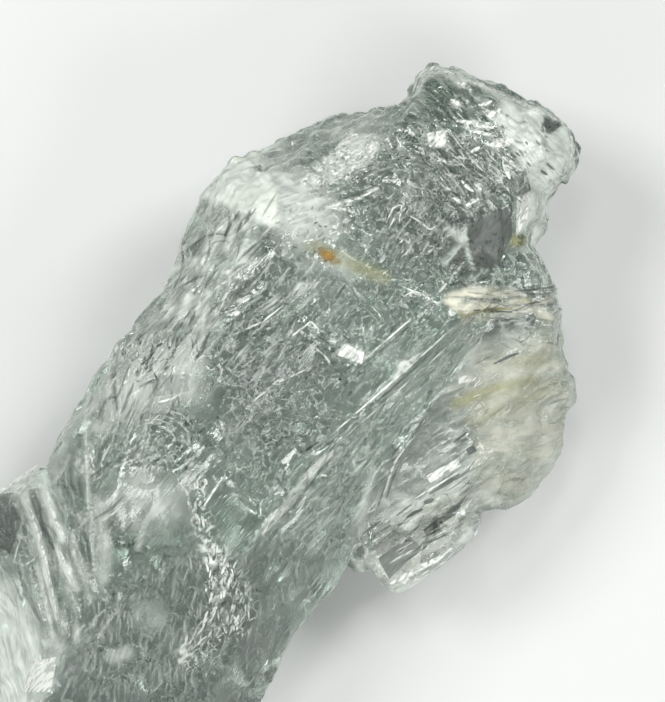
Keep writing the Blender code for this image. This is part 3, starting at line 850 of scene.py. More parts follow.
GLINT_MARKS = [
    (1.0, outline_mask, [(296, 182), (318, 168), (334, 150), (346, 136), (362, 136), (378, 145),
     (366, 168), (330, 182), (312, 186)], 4),
    (1.0, outline_mask, [(334, 355), (345, 344), (364, 354), (363, 364)], 1.5),
    (0.9, outline_mask, [(482, 109), (514, 112), (512, 128), (486, 126)], 4),
    (0.9, outline_mask, [(426, 132), (447, 130), (444, 148), (428, 147)], 4),
    (0.9, outline_mask, [(508, 106), (539, 108), (540, 150), (520, 158), (508, 130)], 5),
    (0.9, line_mask, [(329, 207), (352, 200), (377, 189)], 4),
    (0.8, line_mask, [(290, 295), (303, 282)], 5),
    (0.9, outline_mask, [(198, 545), (227, 551), (226, 566), (206, 564)], 3),
    (0.9, outline_mask, [(177, 650), (193, 648), (192, 662), (179, 664)], 2),
    (0.8, outline_mask, [(458, 376), (475, 374), (474, 382), (460, 384)], 2),
    (0.8, spot_mask, (452, 388), (9, 4), 15),
    (0.8, spot_mask, (404, 366), (12, 7), 40),
    (1.0, spot_mask, (197, 290), (8, 4), 0),
    (1.0, spot_mask, (228, 272), (5, 5), 0),
]
painted_glints = ramp(-0.05, 0.10, glint_noise) * painted(GLINT_MARKS)
milk = painted(MILK_MARKS) * (0.75 + 0.25 * wispy)
rim_milk_and_highlight = (0.50 + 0.30 * head_zone + 0.45 * corner_zone) * rim_frost_and_highlight
frost_and_glint_strength = np.clip(frost_and_glint_strength * wispy, 0.0, 0.95)
frost_and_glint_strength = np.max([frost_and_glint_strength, milk, painted_glints, rim_milk_and_highlight], axis=0)

# %% White threads and painted glints
THREAD_AND_GLINT_MARKS = [
    (1.00, line_mask, [(195, 490), (202, 520), (206, 548), (224, 562), (236, 582), (252, 606), (246, 628),
     (214, 640), (190, 662)], 17),
    (0.90, line_mask, [(122, 388), (150, 372), (188, 352)], 16),
    (0.80, line_mask, [(108, 350), (160, 345), (192, 352)], 12),
    # Painted glints on the shoulder.
    (1.00, outline_mask, [(288, 176), (326, 150), (352, 146), (350, 168), (312, 182)], 5),
    (0.90, line_mask, [(300, 196), (335, 190), (362, 178)], 7),
    (0.70, line_mask, [(400, 145), (470, 130), (530, 118)], 22),
    (0.60, spot_mask, (455, 285), (50, 22), -15),
    (0.44, outline_mask, FRONT, 20),
    (0.60, spot_mask, *RIPPLE_SPOT),
    (0.45, outline_mask, [(230, 160), (395, 105), (500, 150), (520, 230), (440, 290), (265, 205)], 16),
    (0.50, outline_mask, BAND, 8),
    (0.45, outline_mask, SLAB, 12),
    (0.25, outline_mask, [(90, 590), (200, 520), (345, 520), (340, 600), (270, 720), (40, 720)], 20),
]
thread_and_glint_strength = np.maximum(painted(THREAD_AND_GLINT_MARKS), 0.45 * haze * (1.0 - facing) * off_floor)

# %% Painted shade on faces, cracks and creases
# Painted shade: dark patches where faces, cracks and hollows lie in shade; the stone itself is not dark
# there.
PAINTED_SHADE_MARKS = [
    (0.88, outline_mask, [(466, 227), (488, 218), (511, 208), (513, 226), (510, 238), (493, 269),
     (473, 266)], 1.5),
    (0.92, outline_mask, [(449, 262), (463, 247), (464, 266)], 1.5),
    (0.90, outline_mask, [(543, 116), (565, 123), (553, 133), (542, 131)], 2),
    (0.45, line_mask, [(137, 568), (166, 588), (196, 613)], 9),
    (0.45, line_mask, [(176, 548), (204, 572), (214, 590)], 8),
    (0.45, line_mask, [(100, 588), (124, 628), (150, 642)], 9),
    (0.40, outline_mask, [(98, 590), (110, 600), (75, 690), (45, 655)], 5),
    (0.55, line_mask, [(33, 505), (48, 545), (60, 580)], 5),
    (0.28, line_mask, [(75, 480), (84, 530), (92, 575)], 12),
    (0.72, outline_mask, [(-40, 500), (12, 492), (20, 520), (14, 552), (-30, 570)], 6),
    (0.50, spot_mask, (445, 225), (82, 66), 30),
    (0.35, outline_mask, [(412, 150), (470, 140), (520, 175), (512, 206), (430, 205)], 14),
    (0.35, spot_mask, (300, 388), (55, 36), 20),
    (0.44, outline_mask, [(100, 590), (200, 550), (340, 530), (340, 600), (270, 720), (40, 720)], 22),
    (0.40, outline_mask, [(370, 190), (450, 195), (470, 230), (440, 280), (385, 270)], 22),
    (0.42, outline_mask, [(220, 350), (300, 340), (345, 370), (330, 440), (250, 450), (215, 410)], 22),
    (0.30, outline_mask, [(130, 500), (190, 480), (195, 520), (150, 540)], 14),
    (0.42, spot_mask, (141, 476), (18, 13), 25),
    (0.36, spot_mask, (194, 465), (24, 15), 40),
    (0.30, spot_mask, (120, 520), (14, 26), 0),
    (0.28, line_mask, [(92, 590), (140, 632), (190, 655)], 16),
    (0.28, line_mask, [(120, 570), (170, 600), (205, 628)], 14),
    (0.28, line_mask, [(170, 545), (205, 580), (215, 610)], 14),
    (0.22, line_mask, [(78, 450), (88, 520), (98, 570)], 16),
    (0.30, line_mask, [(345, 520), (320, 580), (290, 620)], 22),
]
# Painted shade in the creases of the break.
crease_shade = ramp(*CREASE_MM, -crest) * off_floor
painted_shade_strength = np.maximum(painted(PAINTED_SHADE_MARKS), 0.22 * break_zone * crease_shade)

# %% Streaks that follow the growth
STREAK_ZONES = [
    # outline in pixels, direction in degrees upwards, strength
    ([(90, 590), (200, 545), (345, 520), (340, 600), (270, 720), (40, 720)], 82.0, 0.28),
    (BREAK, 106.0, 0.45),
    ([(130, 330), (165, 255), (212, 185), (262, 215), (250, 260), (200, 330)], 52.0, 0.90),
    ([(60, 450), (130, 330), (200, 330), (205, 400), (100, 500)], 68.0, 0.60),
    ([(200, 330), (250, 240), (340, 250), (330, 330), (240, 400)], 48.0, 0.45),
    ([(340, 200), (450, 195), (470, 260), (440, 285), (350, 270)], 62.0, 0.45),
    ([(250, 150), (330, 100), (420, 110), (420, 190), (300, 240)], 20.0, 0.45),
    ([(395, 105), (430, 60), (500, 85), (578, 130), (570, 180), (520, 208), (450, 195), (400, 160)],
     130.0, 0.50),
    ([(240, 545), (330, 430), (460, 320), (485, 335), (415, 440), (345, 560)], 45.0, 0.55),
    ([(440, 280), (560, 270), (575, 340), (480, 345)], 8.0, 0.45),
    ([(352, 560), (400, 465), (470, 345), (560, 340), (574, 385), (560, 455), (510, 512), (400, 592)],
     29.0, 0.60),
]
STREAK_WIDTH, STREAK_LENGTH, STREAK_BEND = 4.2, 30.0, 9.0
flow = np.stack([1.6 * x, y / 4.0, 1.6 * z], axis=1)
streak_strength = 0.35 * off_floor * (1.0 - facing)
for index, (corners, direction, strength) in enumerate(STREAK_ZONES):
    zone = outline_mask(seen, corners, 12.0 + 4.0 * index) * facing
    angle = math.radians(direction)
    across = column * math.sin(angle) + row * math.cos(angle) + STREAK_BEND * bend
    along = column * math.cos(angle) - row * math.sin(angle)
    inside = zone > 0.5
    streaks = np.stack([across / STREAK_WIDTH, along / STREAK_LENGTH, 0.0 * row + 3.0 * index], axis=1)
    flow[inside] = streaks[inside]
    streak_strength = np.maximum(streak_strength, strength * zone)
print("streaked points:", int((streak_strength > 0.3).sum()))

# %% The sheet of marks
# The white carries frost, threads and painted glints; the dark carries dark streaks and painted shade.
MARK_AND_GLINT_WHITE = (0.65, 0.70, 0.645, 1.0)
MARK_AND_SHADE_DARK = (0.045, 0.055, 0.05, 1.0)
MARKS_LIFT_MM = 0.010
marks, tree, shader, in_mm = new_material("frost, threads and cracks")
shader.inputs["Roughness"].default_value = 0.6
pattern = thread_pattern(tree, in_mm, 1.3, 0.022)
white_mask, thread_here, painted_shade_here, streak_here = (
    per_point(tree, label) for label in ("white", "thread", "dark", "streak")
)
streak_noise = noise(tree, per_point(tree, "flow", "Vector"), 1.0, 2.5, 0.6)
white_streak = rescaled(tree, streak_noise, 0.51, 0.72)
dark_streak = rescaled(tree, streak_noise, 0.49, 0.30)
uneven = rescaled(tree, streak_noise, 0.36, 0.60, 0.62, 1.08)
white_here = maths(tree, "MULTIPLY", white_mask, uneven, True)
white = maths(tree, "MAXIMUM", white_here, maths(tree, "MULTIPLY", thread_here, pattern.outputs["Threads"]))
white = maths(tree, "MAXIMUM", white, maths(tree, "MULTIPLY", white_streak, streak_here))
dark = maths(tree, "MULTIPLY", maths(tree, "MULTIPLY", dark_streak, streak_here), 0.8)
dark = maths(tree, "MAXIMUM", dark, painted_shade_here)
dark = maths(tree, "MULTIPLY", dark, maths(tree, "SUBTRACT", 1.0, white_here))
clear = maths(tree, "MULTIPLY", maths(tree, "SUBTRACT", 1.0, white), maths(tree, "SUBTRACT", 1.0, dark))
cover = maths(tree, "SUBTRACT", 1.0, clear, True)
white_share = maths(tree, "DIVIDE", white, maths(tree, "MAXIMUM", cover, 0.001), True)
tree.links.new(blended(tree, white_share, MARK_AND_SHADE_DARK, MARK_AND_GLINT_WHITE), shader.inputs["Base Color"])
tree.links.new(cover, shader.inputs["Alpha"])

# %% Lay the sheet on the skin
# Where painted shade is strong, threads and streaks give way and the white fades.
bare = 1.0 - ramp(0.45, 0.8, painted_shade_strength)
thread_and_glint_strength, streak_strength = thread_and_glint_strength * bare, streak_strength * bare
frost_and_glint_strength = frost_and_glint_strength * (0.15 + 0.85 * bare)
any_strength = np.max([frost_and_glint_strength, thread_and_glint_strength, painted_shade_strength, streak_strength], axis=0)
skin_patch(
    "skin_marks", any_strength, MARKS_LIFT_MM, marks, "veil",
    white=frost_and_glint_strength, thread=thread_and_glint_strength, dark=np.clip(painted_shade_strength, 0.0, 0.9),
    streak=streak_strength, flow=flow,
)

# %% [markdown]
# ## Fine lines and crisp faces
# Growth lines, the edges of cracks and small flat faces are finer than the net of the skin. They
# are narrow strips and small four-cornered faces of their own, laid on the skin where they are
# seen. Many white ones are painted glints where facets catch the lamps, and the dark ones are
# painted shade beside edges and on faces turned from the light. The long ones are given one by
# one. The many short ones come in bundles that share a direction, as they do on the stone.

# %% The skin under a pixel
CELL_PX = 3.6
CELL_MARGIN = 60.0
SPREAD_ROUNDS = 12
STEEPEST, MOST_FALL_MM = 0.4, 0.3
SMOOTHING_MM2 = 0.01
CELL_SHAPE = ((PHOTO_SIZE[::-1] + 2 * CELL_MARGIN) / CELL_PX).astype(int) + 1


def cell_of(columns, rows):
    """Row and column of the table cell that holds each pixel."""
    spot = (np.stack([rows, columns]) + CELL_MARGIN) / CELL_PX
    return tuple(np.clip(spot.astype(int), 0, CELL_SHAPE[:, None] - 1))


UPPER_LIMIT = 0.25
upper = np.flatnonzero(facing > UPPER_LIMIT)
upper = upper[np.argsort(skin_points[upper, 2])]
top_point = np.full(tuple(CELL_SHAPE), -1)
top_point[cell_of(*seen_at(skin_points[upper]))] = upper
NEIGHBOUR_STEPS = ((0, 1), (1, 1), (0, -1), (1, -1))
covered = top_point >= 0
for widen_or_narrow in (np.maximum, np.minimum):
    for axis, step in NEIGHBOUR_STEPS:
        covered = widen_or_narrow(covered, np.roll(covered, step, axis))
for axis, step in NEIGHBOUR_STEPS * SPREAD_ROUNDS:
    top_point = np.where(top_point < 0, np.roll(top_point, step, axis), top_point)
top_point = np.maximum(top_point, 0)


def laid_on_skin(columns, rows, lift):
    """Places on the skin that are seen at the pixels: the mean of the tangent planes of the highest
    skin points in the nine cells around, in which near points weigh most."""
    total = weights = 0.0
    for step in itertools.product((-CELL_PX, 0.0, CELL_PX), repeat=2):
        near = top_point[cell_of(columns + step[0], rows + step[1])]
        base, normal = skin_points[near], skin_normals[near]
        offset = on_stone(columns, rows, base[:, 2])[:, :2] - base[:, :2]
        fall = (offset * normal[:, :2]).sum(axis=1) / np.maximum(normal[:, 2], STEEPEST)
        weight = ((offset**2).sum(axis=1) + SMOOTHING_MM2) ** -2
        total = total + weight * (base[:, 2] - np.clip(fall, -MOST_FALL_MM, MOST_FALL_MM))
        weights = weights + weight
    return on_stone(columns, rows, total / weights + lift)


# %% Places along lines and on grids
def along_line(points, shares):
    """Places at the given shares of the length of a line through a few points."""
    points = np.array(points, float)
    lengths = np.concatenate([[0.0], np.cumsum(np.linalg.norm(np.diff(points, axis=0), axis=1))])
    return np.stack([np.interp(shares, lengths / lengths[-1], axis) for axis in points.T], axis=1)


def grid_faces(rows, columns):
    """Squares between neighbouring points of a grid, counted row by row."""
    corner = (np.arange(rows - 1)[:, None] * columns + np.arange(columns - 1)).ravel()
    return np.stack([corner, corner + 1, corner + columns + 1, corner + columns], axis=1)


def repeated(faces, points_each, count):
    """The faces of one grid for many grids whose points follow one another."""
    return (faces[None] + points_each * np.arange(count)[:, None, None]).reshape(-1, 4)


# %% Strips
LINE_STEPS = 12
LINE_SHARES = np.linspace(0.0, 1.0, LINE_STEPS)
ACROSS = np.array([-1.0, -0.5, 0.5, 1.0])
ACROSS_STRENGTH = np.array([0.0, 1.0, 1.0, 0.0])
STRIP_POINTS = LINE_STEPS * len(ACROSS)
TAPER = np.sin(math.pi * (0.05 + 0.90 * LINE_SHARES)) ** 0.6


def strips(columns, rows, widths, tones, strengths):
    """P(s, t) = the centre line at s, plus t times half the width across it, narrower towards both
    ends. Centre lines come as arrays of lines by steps, in pixels."""
    along = np.stack([np.gradient(columns, axis=1), np.gradient(rows, axis=1)])
    along /= np.maximum(np.hypot(*along), 1e-6)
    side = 0.5 * widths[:, None, None] * TAPER[:, None] * ACROSS
    columns = columns[..., None] - along[1][..., None] * side
    rows = rows[..., None] + along[0][..., None] * side
    strength = strengths[:, None, None] * ACROSS_STRENGTH + 0.0 * columns
    tone = tones[:, None, None] + 0.0 * columns
    return columns.ravel(), rows.ravel(), strength.ravel(), tone.ravel()


# %% Lines given one by one
LINES = [
    # width in pixels, tone from 0 dark to 1 white, strength, points
    # A line of tone 0 is painted shade beside an edge or crack.
    (2.4, 1.0, 0.80, [(232, 335), (262, 322), (284, 305)]),
    (2.4, 1.0, 0.85, [(291, 337), (311, 321), (318, 329), (326, 333)]),
    (3.4, 0.9, 0.60, [(254, 401), (275, 383), (308, 369)]),
    (2.2, 1.0, 0.80, [(315, 348), (324, 355), (331, 364)]),
    (2.2, 0.0, 0.50, [(318, 336), (330, 344), (336, 356)]),
    (2.4, 0.0, 0.90, [(337, 299), (341, 291), (346, 284)]),
    (2.4, 0.0, 0.55, [(326, 292), (332, 284), (338, 276)]),
    (2.6, 1.0, 0.90, [(364, 360), (390, 337), (412, 318)]),
    (2.2, 0.0, 0.60, [(368, 361), (393, 340), (415, 321)]),
    (2.4, 1.0, 0.90, [(330, 436), (392, 382), (456, 325)]),
    (2.0, 0.0, 0.65, [(333, 440), (395, 386), (459, 329)]),
    (2.2, 1.0, 0.70, [(337, 444), (399, 390), (463, 333)]),
    (7.0, 1.0, 0.55, [(392, 380), (406, 366), (422, 352)]),
    (11.0, 0.85, 0.60, [(262, 535), (285, 507), (305, 480), (322, 461), (342, 446)]),
    (3.2, 1.0, 0.95, [(262, 535), (272, 518), (281, 505)]),
    (2.4, 0.0, 0.60, [(284, 516), (302, 496), (318, 474), (326, 462)]),
    (4.6, 1.0, 0.90, [(296, 514), (301, 505), (306, 496)]),
    (3.4, 1.0, 0.90, [(316, 478), (322, 475), (328, 476)]),
    (3.4, 1.0, 0.90, [(226, 474), (216, 487), (204, 506)]),
    # Painted glints on the shoulder's edge.
    (3.6, 1.0, 0.90, [(329, 207), (345, 202), (360, 198), (377, 189)]),
    (2.4, 0.0, 0.60, [(338, 200), (356, 195), (376, 185)]),
    (3.0, 1.0, 0.75, [(330, 208), (345, 209), (356, 214), (352, 207)]),
    (2.2, 1.0, 0.85, [(298, 242), (318, 239), (337, 231)]),
    (2.6, 1.0, 0.90, [(218, 314), (228, 311), (235, 309)]),
    (6.0, 1.0, 0.90, [(232, 314), (236, 313), (240, 312)]),
    (1.8, 1.0, 0.60, [(243, 263), (250, 262), (255, 266), (252, 276), (246, 280), (241, 276), (243, 263)]),
    (3.0, 1.0, 0.80, [(214, 290), (221, 284), (228, 281)]),
    (6.5, 1.0, 0.85, [(223, 274), (227, 272), (231, 271)]),
    (5.0, 1.0, 0.90, [(190, 291), (195, 290), (200, 292)]),
    (5.0, 0.9, 0.50, [(114, 345), (108, 375), (112, 410)]),
    (4.0, 0.9, 0.50, [(125, 350), (118, 380), (121, 408)]),
    (5.0, 0.0, 0.35, [(119, 348), (113, 378), (117, 410)]),
    (3.2, 1.0, 0.90, [(153, 403), (168, 400), (184, 393)]),
    (2.6, 1.0, 0.45, [(88, 393), (86, 440), (88, 515), (94, 573)]),
    (3.0, 0.0, 0.45, [(89, 478), (110, 463), (134, 452)]),
    (2.6, 1.0, 0.55, [(90, 484), (112, 468), (138, 458)]),
    (3.4, 0.0, 0.40, [(93, 520), (112, 508), (124, 496)]),
    (2.6, 1.0, 0.50, [(94, 526), (114, 513), (128, 500)]),
    (4.0, 1.0, 0.80, BREAK_CRESTS[0]),
    (5.0, 1.0, 0.72, BREAK_CRESTS[1]),
    (4.0, 1.0, 0.80, BREAK_CRESTS[2]),
    (6.0, 0.0, 0.55, [(31, 497), (42, 524), (54, 550)]),
    (10.0, 0.0, 0.30, [(62, 484), (74, 520), (86, 562)]),
    (6.0, 0.0, 0.35, [(16, 562), (26, 592), (40, 622)]),
    (5.0, 1.0, 0.50, BREAK_CRESTS[3]),
    (6.0, 0.0, 0.30, [(48, 560), (55, 585), (62, 610)]),
    (2.2, 1.0, 0.55, [(22, 515), (33, 512), (42, 534), (38, 556), (26, 565), (13, 562), (20, 540),
     (22, 515)]),
    (2.6, 1.0, 0.80, [(386, 223), (393, 208), (402, 204), (399, 222)]),
    (2.6, 1.0, 0.80, [(389, 228), (397, 214), (406, 208)]),
    (2.4, 1.0, 0.75, [(410, 216), (419, 221), (430, 230), (436, 226)]),
    (2.8, 1.0, 0.75, [(395, 248), (404, 239), (412, 245), (405, 255)]),
    (2.4, 1.0, 0.85, [(398, 284), (410, 290), (422, 294), (436, 303), (446, 300)]),
    (2.2, 1.0, 0.80, [(404, 296), (412, 292), (420, 296)]),
    (4.0, 1.0, 0.60, [(436, 296), (452, 277), (464, 262)]),
    (2.0, 0.0, 0.60, [(440, 299), (454, 282), (466, 268)]),
    (4.0, 0.0, 0.65, [(450, 285), (458, 282), (467, 286)]),
    (3.6, 0.0, 0.75, [(494, 364), (508, 357), (519, 353)]),
    (3.0, 0.0, 0.70, [(454, 442), (461, 437), (468, 431)]),
    (3.4, 0.0, 0.70, [(363, 534), (372, 527), (381, 521)]),
    (3.0, 0.0, 0.70, [(373, 537), (382, 531), (391, 525)]),
    (2.6, 0.0, 0.65, [(396, 516), (404, 510), (412, 504)]),
    (4.6, 0.0, 0.80, [(406, 518), (414, 513), (423, 509)]),
    (6.0, 0.0, 0.75, [(424, 503), (429, 501), (434, 499)]),
    (5.0, 0.0, 0.55, [(429, 494), (444, 485), (460, 474)]),
    (2.6, 1.0, 0.80, [(412, 500), (436, 486), (458, 472)]),
    (2.2, 0.0, 0.80, [(422, 538), (434, 532), (448, 525)]),
    (2.4, 1.0, 0.90, [(424, 541), (437, 535), (452, 527)]),
    (2.0, 0.0, 0.70, [(427, 543), (439, 538), (450, 532)]),
    (3.0, 1.0, 0.90, [(372, 542), (386, 534), (398, 526)]),
    (3.2, 1.0, 0.85, [(457, 512), (466, 507), (472, 500)]),
    (3.2, 1.0, 0.85, [(462, 518), (471, 511), (478, 505)]),
    (3.0, 0.0, 0.50, [(458, 522), (466, 516), (474, 508)]),
    (5.0, 1.0, 0.85, [(352, 550), (356, 544), (364, 544), (368, 552), (364, 561), (355, 562), (351, 556),
     (352, 550)]),
    (8.0, 1.0, 0.85, [(390, 584), (412, 572), (436, 560), (452, 548)]),
    (3.4, 0.9, 0.70, [(382, 500), (388, 480), (396, 460), (408, 444)]),
    (2.4, 0.0, 0.50, [(386, 500), (392, 481), (400, 462)]),
    (2.4, 0.0, 0.45, [(376, 512), (383, 492), (391, 470)]),
    (7.0, 1.0, 0.80, [(363, 566), (375, 584), (393, 589), (425, 575), (466, 546), (479, 529)]),
    # Painted glints on the head's scallops and rim, down to the end of the table.
    (7.0, 1.0, 0.95, [(450, 100), (455, 102), (460, 105)]),
    (6.0, 1.0, 0.95, [(457, 83), (461, 83), (466, 85)]),
    (5.0, 1.0, 0.95, [(478, 105), (484, 104), (492, 101)]),
    (9.0, 1.0, 0.95, [(488, 116), (495, 113), (501, 109)]),
    (5.0, 1.0, 0.90, [(456, 121), (468, 122), (480, 126), (494, 128)]),
    (5.0, 1.0, 0.90, [(470, 131), (482, 133), (496, 136)]),
    (10.0, 1.0, 0.98, [(490, 145), (500, 143), (513, 140)]),
    (5.0, 1.0, 0.90, [(471, 152), (475, 150), (480, 147)]),
    (4.0, 1.0, 0.85, [(437, 161), (442, 160), (447, 163)]),
    (6.0, 1.0, 0.95, [(503, 161), (506, 169), (510, 179)]),
    (4.0, 1.0, 0.90, [(461, 180), (466, 186), (474, 192)]),
    (4.0, 1.0, 0.90, [(475, 184), (479, 188), (483, 191)]),
    (6.0, 1.0, 0.90, [(466, 206), (473, 201), (479, 199)]),
    (6.0, 1.0, 0.80, [(453, 198), (457, 199), (461, 204)]),
    (9.0, 1.0, 0.98, [(523, 199), (522, 213), (519, 232)]),
    (6.0, 1.0, 0.75, [(413, 92), (417, 77), (432, 67), (454, 74)]),
    (5.0, 1.0, 0.60, [(462, 78), (500, 93), (540, 112), (562, 122)]),
    (6.0, 1.0, 0.70, [(570, 130), (573, 150), (566, 172), (554, 196)]),
]

# %% Ripples round the point of a blow
RIPPLE_CENTRE = (153.0, 443.0)
RIPPLE_RADII = (15.0, 47.0)
RIPPLE_COUNT = 16
ARC_POINTS = 9
FLATTENING = 0.8
ARC_STARTS, ARC_SWEEPS = (-35.0, 70.0), (25.0, 75.0)
ARC_WIDTHS, ARC_STRENGTH = (1.4, 3.2), 0.42
ripple_luck = np.random.default_rng(5)
radii = np.linspace(*RIPPLE_RADII, RIPPLE_COUNT) + ripple_luck.normal(scale=1.2, size=RIPPLE_COUNT)
for k, radius in enumerate(radii):
    first_degrees = ripple_luck.uniform(*ARC_STARTS)
    swept_degrees = ripple_luck.uniform(*ARC_SWEEPS)
    turn = np.radians(np.linspace(first_degrees, first_degrees + swept_degrees, ARC_POINTS))
    wobble = radius + ripple_luck.normal(scale=0.7, size=ARC_POINTS)
    arc_columns = RIPPLE_CENTRE[0] + wobble * np.cos(turn)
    arc_rows = RIPPLE_CENTRE[1] - FLATTENING * wobble * np.sin(turn)
    arc = np.stack([arc_columns, arc_rows], axis=1)
    # Every second arc is dark, as painted shade between the white ones.
    LINES.append((ripple_luck.uniform(*ARC_WIDTHS), float(k % 2), ARC_STRENGTH, arc))
line_places = np.stack([along_line(points, LINE_SHARES) for *_, points in LINES])
line_numbers = np.array([numbers for *numbers, _ in LINES])
drawn = [strips(line_places[..., 0], line_places[..., 1], *line_numbers.T)]

# %% Lines in bundles
BUNDLES = [
    # outline, direction and its spread in degrees, count, lengths, widths, share of white, strength
    # The dark lines of each bundle are painted shade beside the white ones.
    ([(95, 440), (165, 260), (205, 205), (262, 218), (265, 270), (215, 340), (130, 430)], 53, 7, 150,
     (10, 36), (1.5, 4.5), 0.60, 0.55),
    ([(90, 440), (110, 345), (200, 335), (200, 400), (130, 440)], 70, 14, 60, (8, 30),
     (1.2, 3.5), 0.60, 0.55),
    ([(122, 345), (192, 342), (196, 376), (122, 388)], 62, 35, 130, (3, 12), (1.2, 3.0), 0.66, 1.00),
    ([(415, 145), (505, 145), (522, 200), (440, 210)], -40, 7, 140, (4, 18), (1.0, 2.6), 0.50, 0.70),
    # Painted glints on the head's scallops.
    ([(430, 88), (560, 125), (545, 195), (480, 150)], -50, 14, 130, (3, 11), (1.5, 4.2), 0.75, 0.80),
    ([(367, 205), (449, 199), (462, 262), (400, 272)], 58, 22, 130, (3, 12), (1.0, 2.8), 0.38, 0.55),
    ([(320, 120), (420, 110), (440, 180), (360, 190)], 24, 14, 100, (3, 12), (1.0, 2.6), 0.55, 0.50),
    ([(262, 215), (345, 200), (350, 262), (280, 262)], 35, 30, 130, (2, 7), (1.2, 2.8), 0.80, 0.60),
    ([(230, 300), (340, 258), (440, 290), (400, 350), (240, 430)], 46, 9, 190, (3, 15),
     (0.8, 1.7), 0.50, 0.42),
    ([(215, 360), (345, 365), (330, 440), (230, 480)], 42, 30, 150, (2, 7), (0.9, 1.8), 0.50, 0.38),
    (BAND, 48, 10, 220, (4, 20), (0.9, 2.4), 0.58, 0.50),
    ([(60, 690), (105, 600), (210, 560), (340, 530), (270, 700)], 84, 5, 220, (5, 24),
     (0.8, 1.8), 0.55, 0.40),
    ([(186, 484), (208, 480), (206, 535), (190, 532)], 80, 22, 34, (5, 14), (1.5, 4.0), 0.75, 0.75),
    ([(203, 546), (228, 551), (240, 578), (252, 604), (246, 630), (214, 641), (206, 600)], 80, 16, 110,
     (4, 14), (1.5, 4.0), 0.80, 0.85),
    ([(214, 600), (214, 640), (192, 664), (176, 654)], 72, 12, 40, (5, 16), (1.5, 3.5), 0.85, 0.85),
    ([(400, 470), (470, 350), (565, 350), (572, 400), (510, 505), (390, 555)], 29, 7, 190, (4, 26),
     (0.9, 2.6), 0.66, 0.40),
    ([(445, 275), (560, 270), (572, 345), (470, 345)], 8, 9, 110, (4, 24), (0.9, 2.6), 0.62, 0.45),
    ([(443, 290), (530, 290), (530, 314), (447, 312)], 4, 4, 60, (12, 40), (1.0, 2.2), 0.55, 0.60),
    ([(0, 500), (60, 470), (92, 500), (95, 580), (50, 650), (0, 640)], 104, 5, 60, (10, 40),
     (1.2, 3.5), 0.60, 0.28),
    ([(14, 515), (40, 515), (40, 560), (16, 560)], 40, 60, 50, (2, 8), (0.9, 1.8), 0.80, 0.55),
    ([(362, 548), (455, 480), (482, 520), (400, 590)], 31, 4, 60, (6, 34), (1.0, 2.6), 0.65, 0.60),
    # Painted glints: the sparkling patch on the shoulder.
    ([(296, 182), (318, 166), (334, 150), (346, 134), (376, 138), (366, 168), (330, 184)], 15, 14, 260,
     (2, 7), (2.2, 5.0), 1.00, 1.20),
]
TRIES_EACH = 4
WAVER = 0.5
STRENGTH_RANGE = (0.4, 1.0)
bundle_luck = np.random.default_rng(23)
for corners, direction, spread, count, lengths, widths, white_share, strength in BUNDLES:
    starts = bundle_luck.uniform(np.min(corners, axis=0), np.max(corners, axis=0), (TRIES_EACH * count, 2))
    starts = starts[outline_mask(starts.T, corners, 2.0) > 0.5][:count]
    size = len(starts)
    angle = np.radians(direction + spread * bundle_luck.normal(size=size))[:, None]
    angle = angle + bundle_luck.normal(scale=WAVER, size=(size, 1)) * LINE_SHARES
    stride = bundle_luck.uniform(*lengths, (size, 1)) / (LINE_STEPS - 1)
    line_columns = starts[:, :1] + np.cumsum(np.cos(angle) * stride, axis=1)
    line_rows = starts[:, 1:] - np.cumsum(np.sin(angle) * stride, axis=1)
    tones = (bundle_luck.random(size) < white_share).astype(float)
    line_widths = bundle_luck.uniform(*widths, size)
    strengths = strength * bundle_luck.uniform(*STRENGTH_RANGE, size)
    drawn.append(strips(line_columns, line_rows, line_widths, tones, strengths))
strip_columns, strip_rows, strip_strength, strip_tone = (np.concatenate(parts) for parts in zip(*drawn))
strip_count = len(strip_columns) // STRIP_POINTS
strip_faces = repeated(grid_faces(LINE_STEPS, len(ACROSS)), STRIP_POINTS, strip_count)
strip_faces = strip_faces[covered[cell_of(strip_columns, strip_rows)][strip_faces].all(axis=1)]
print("fine lines:", strip_count)

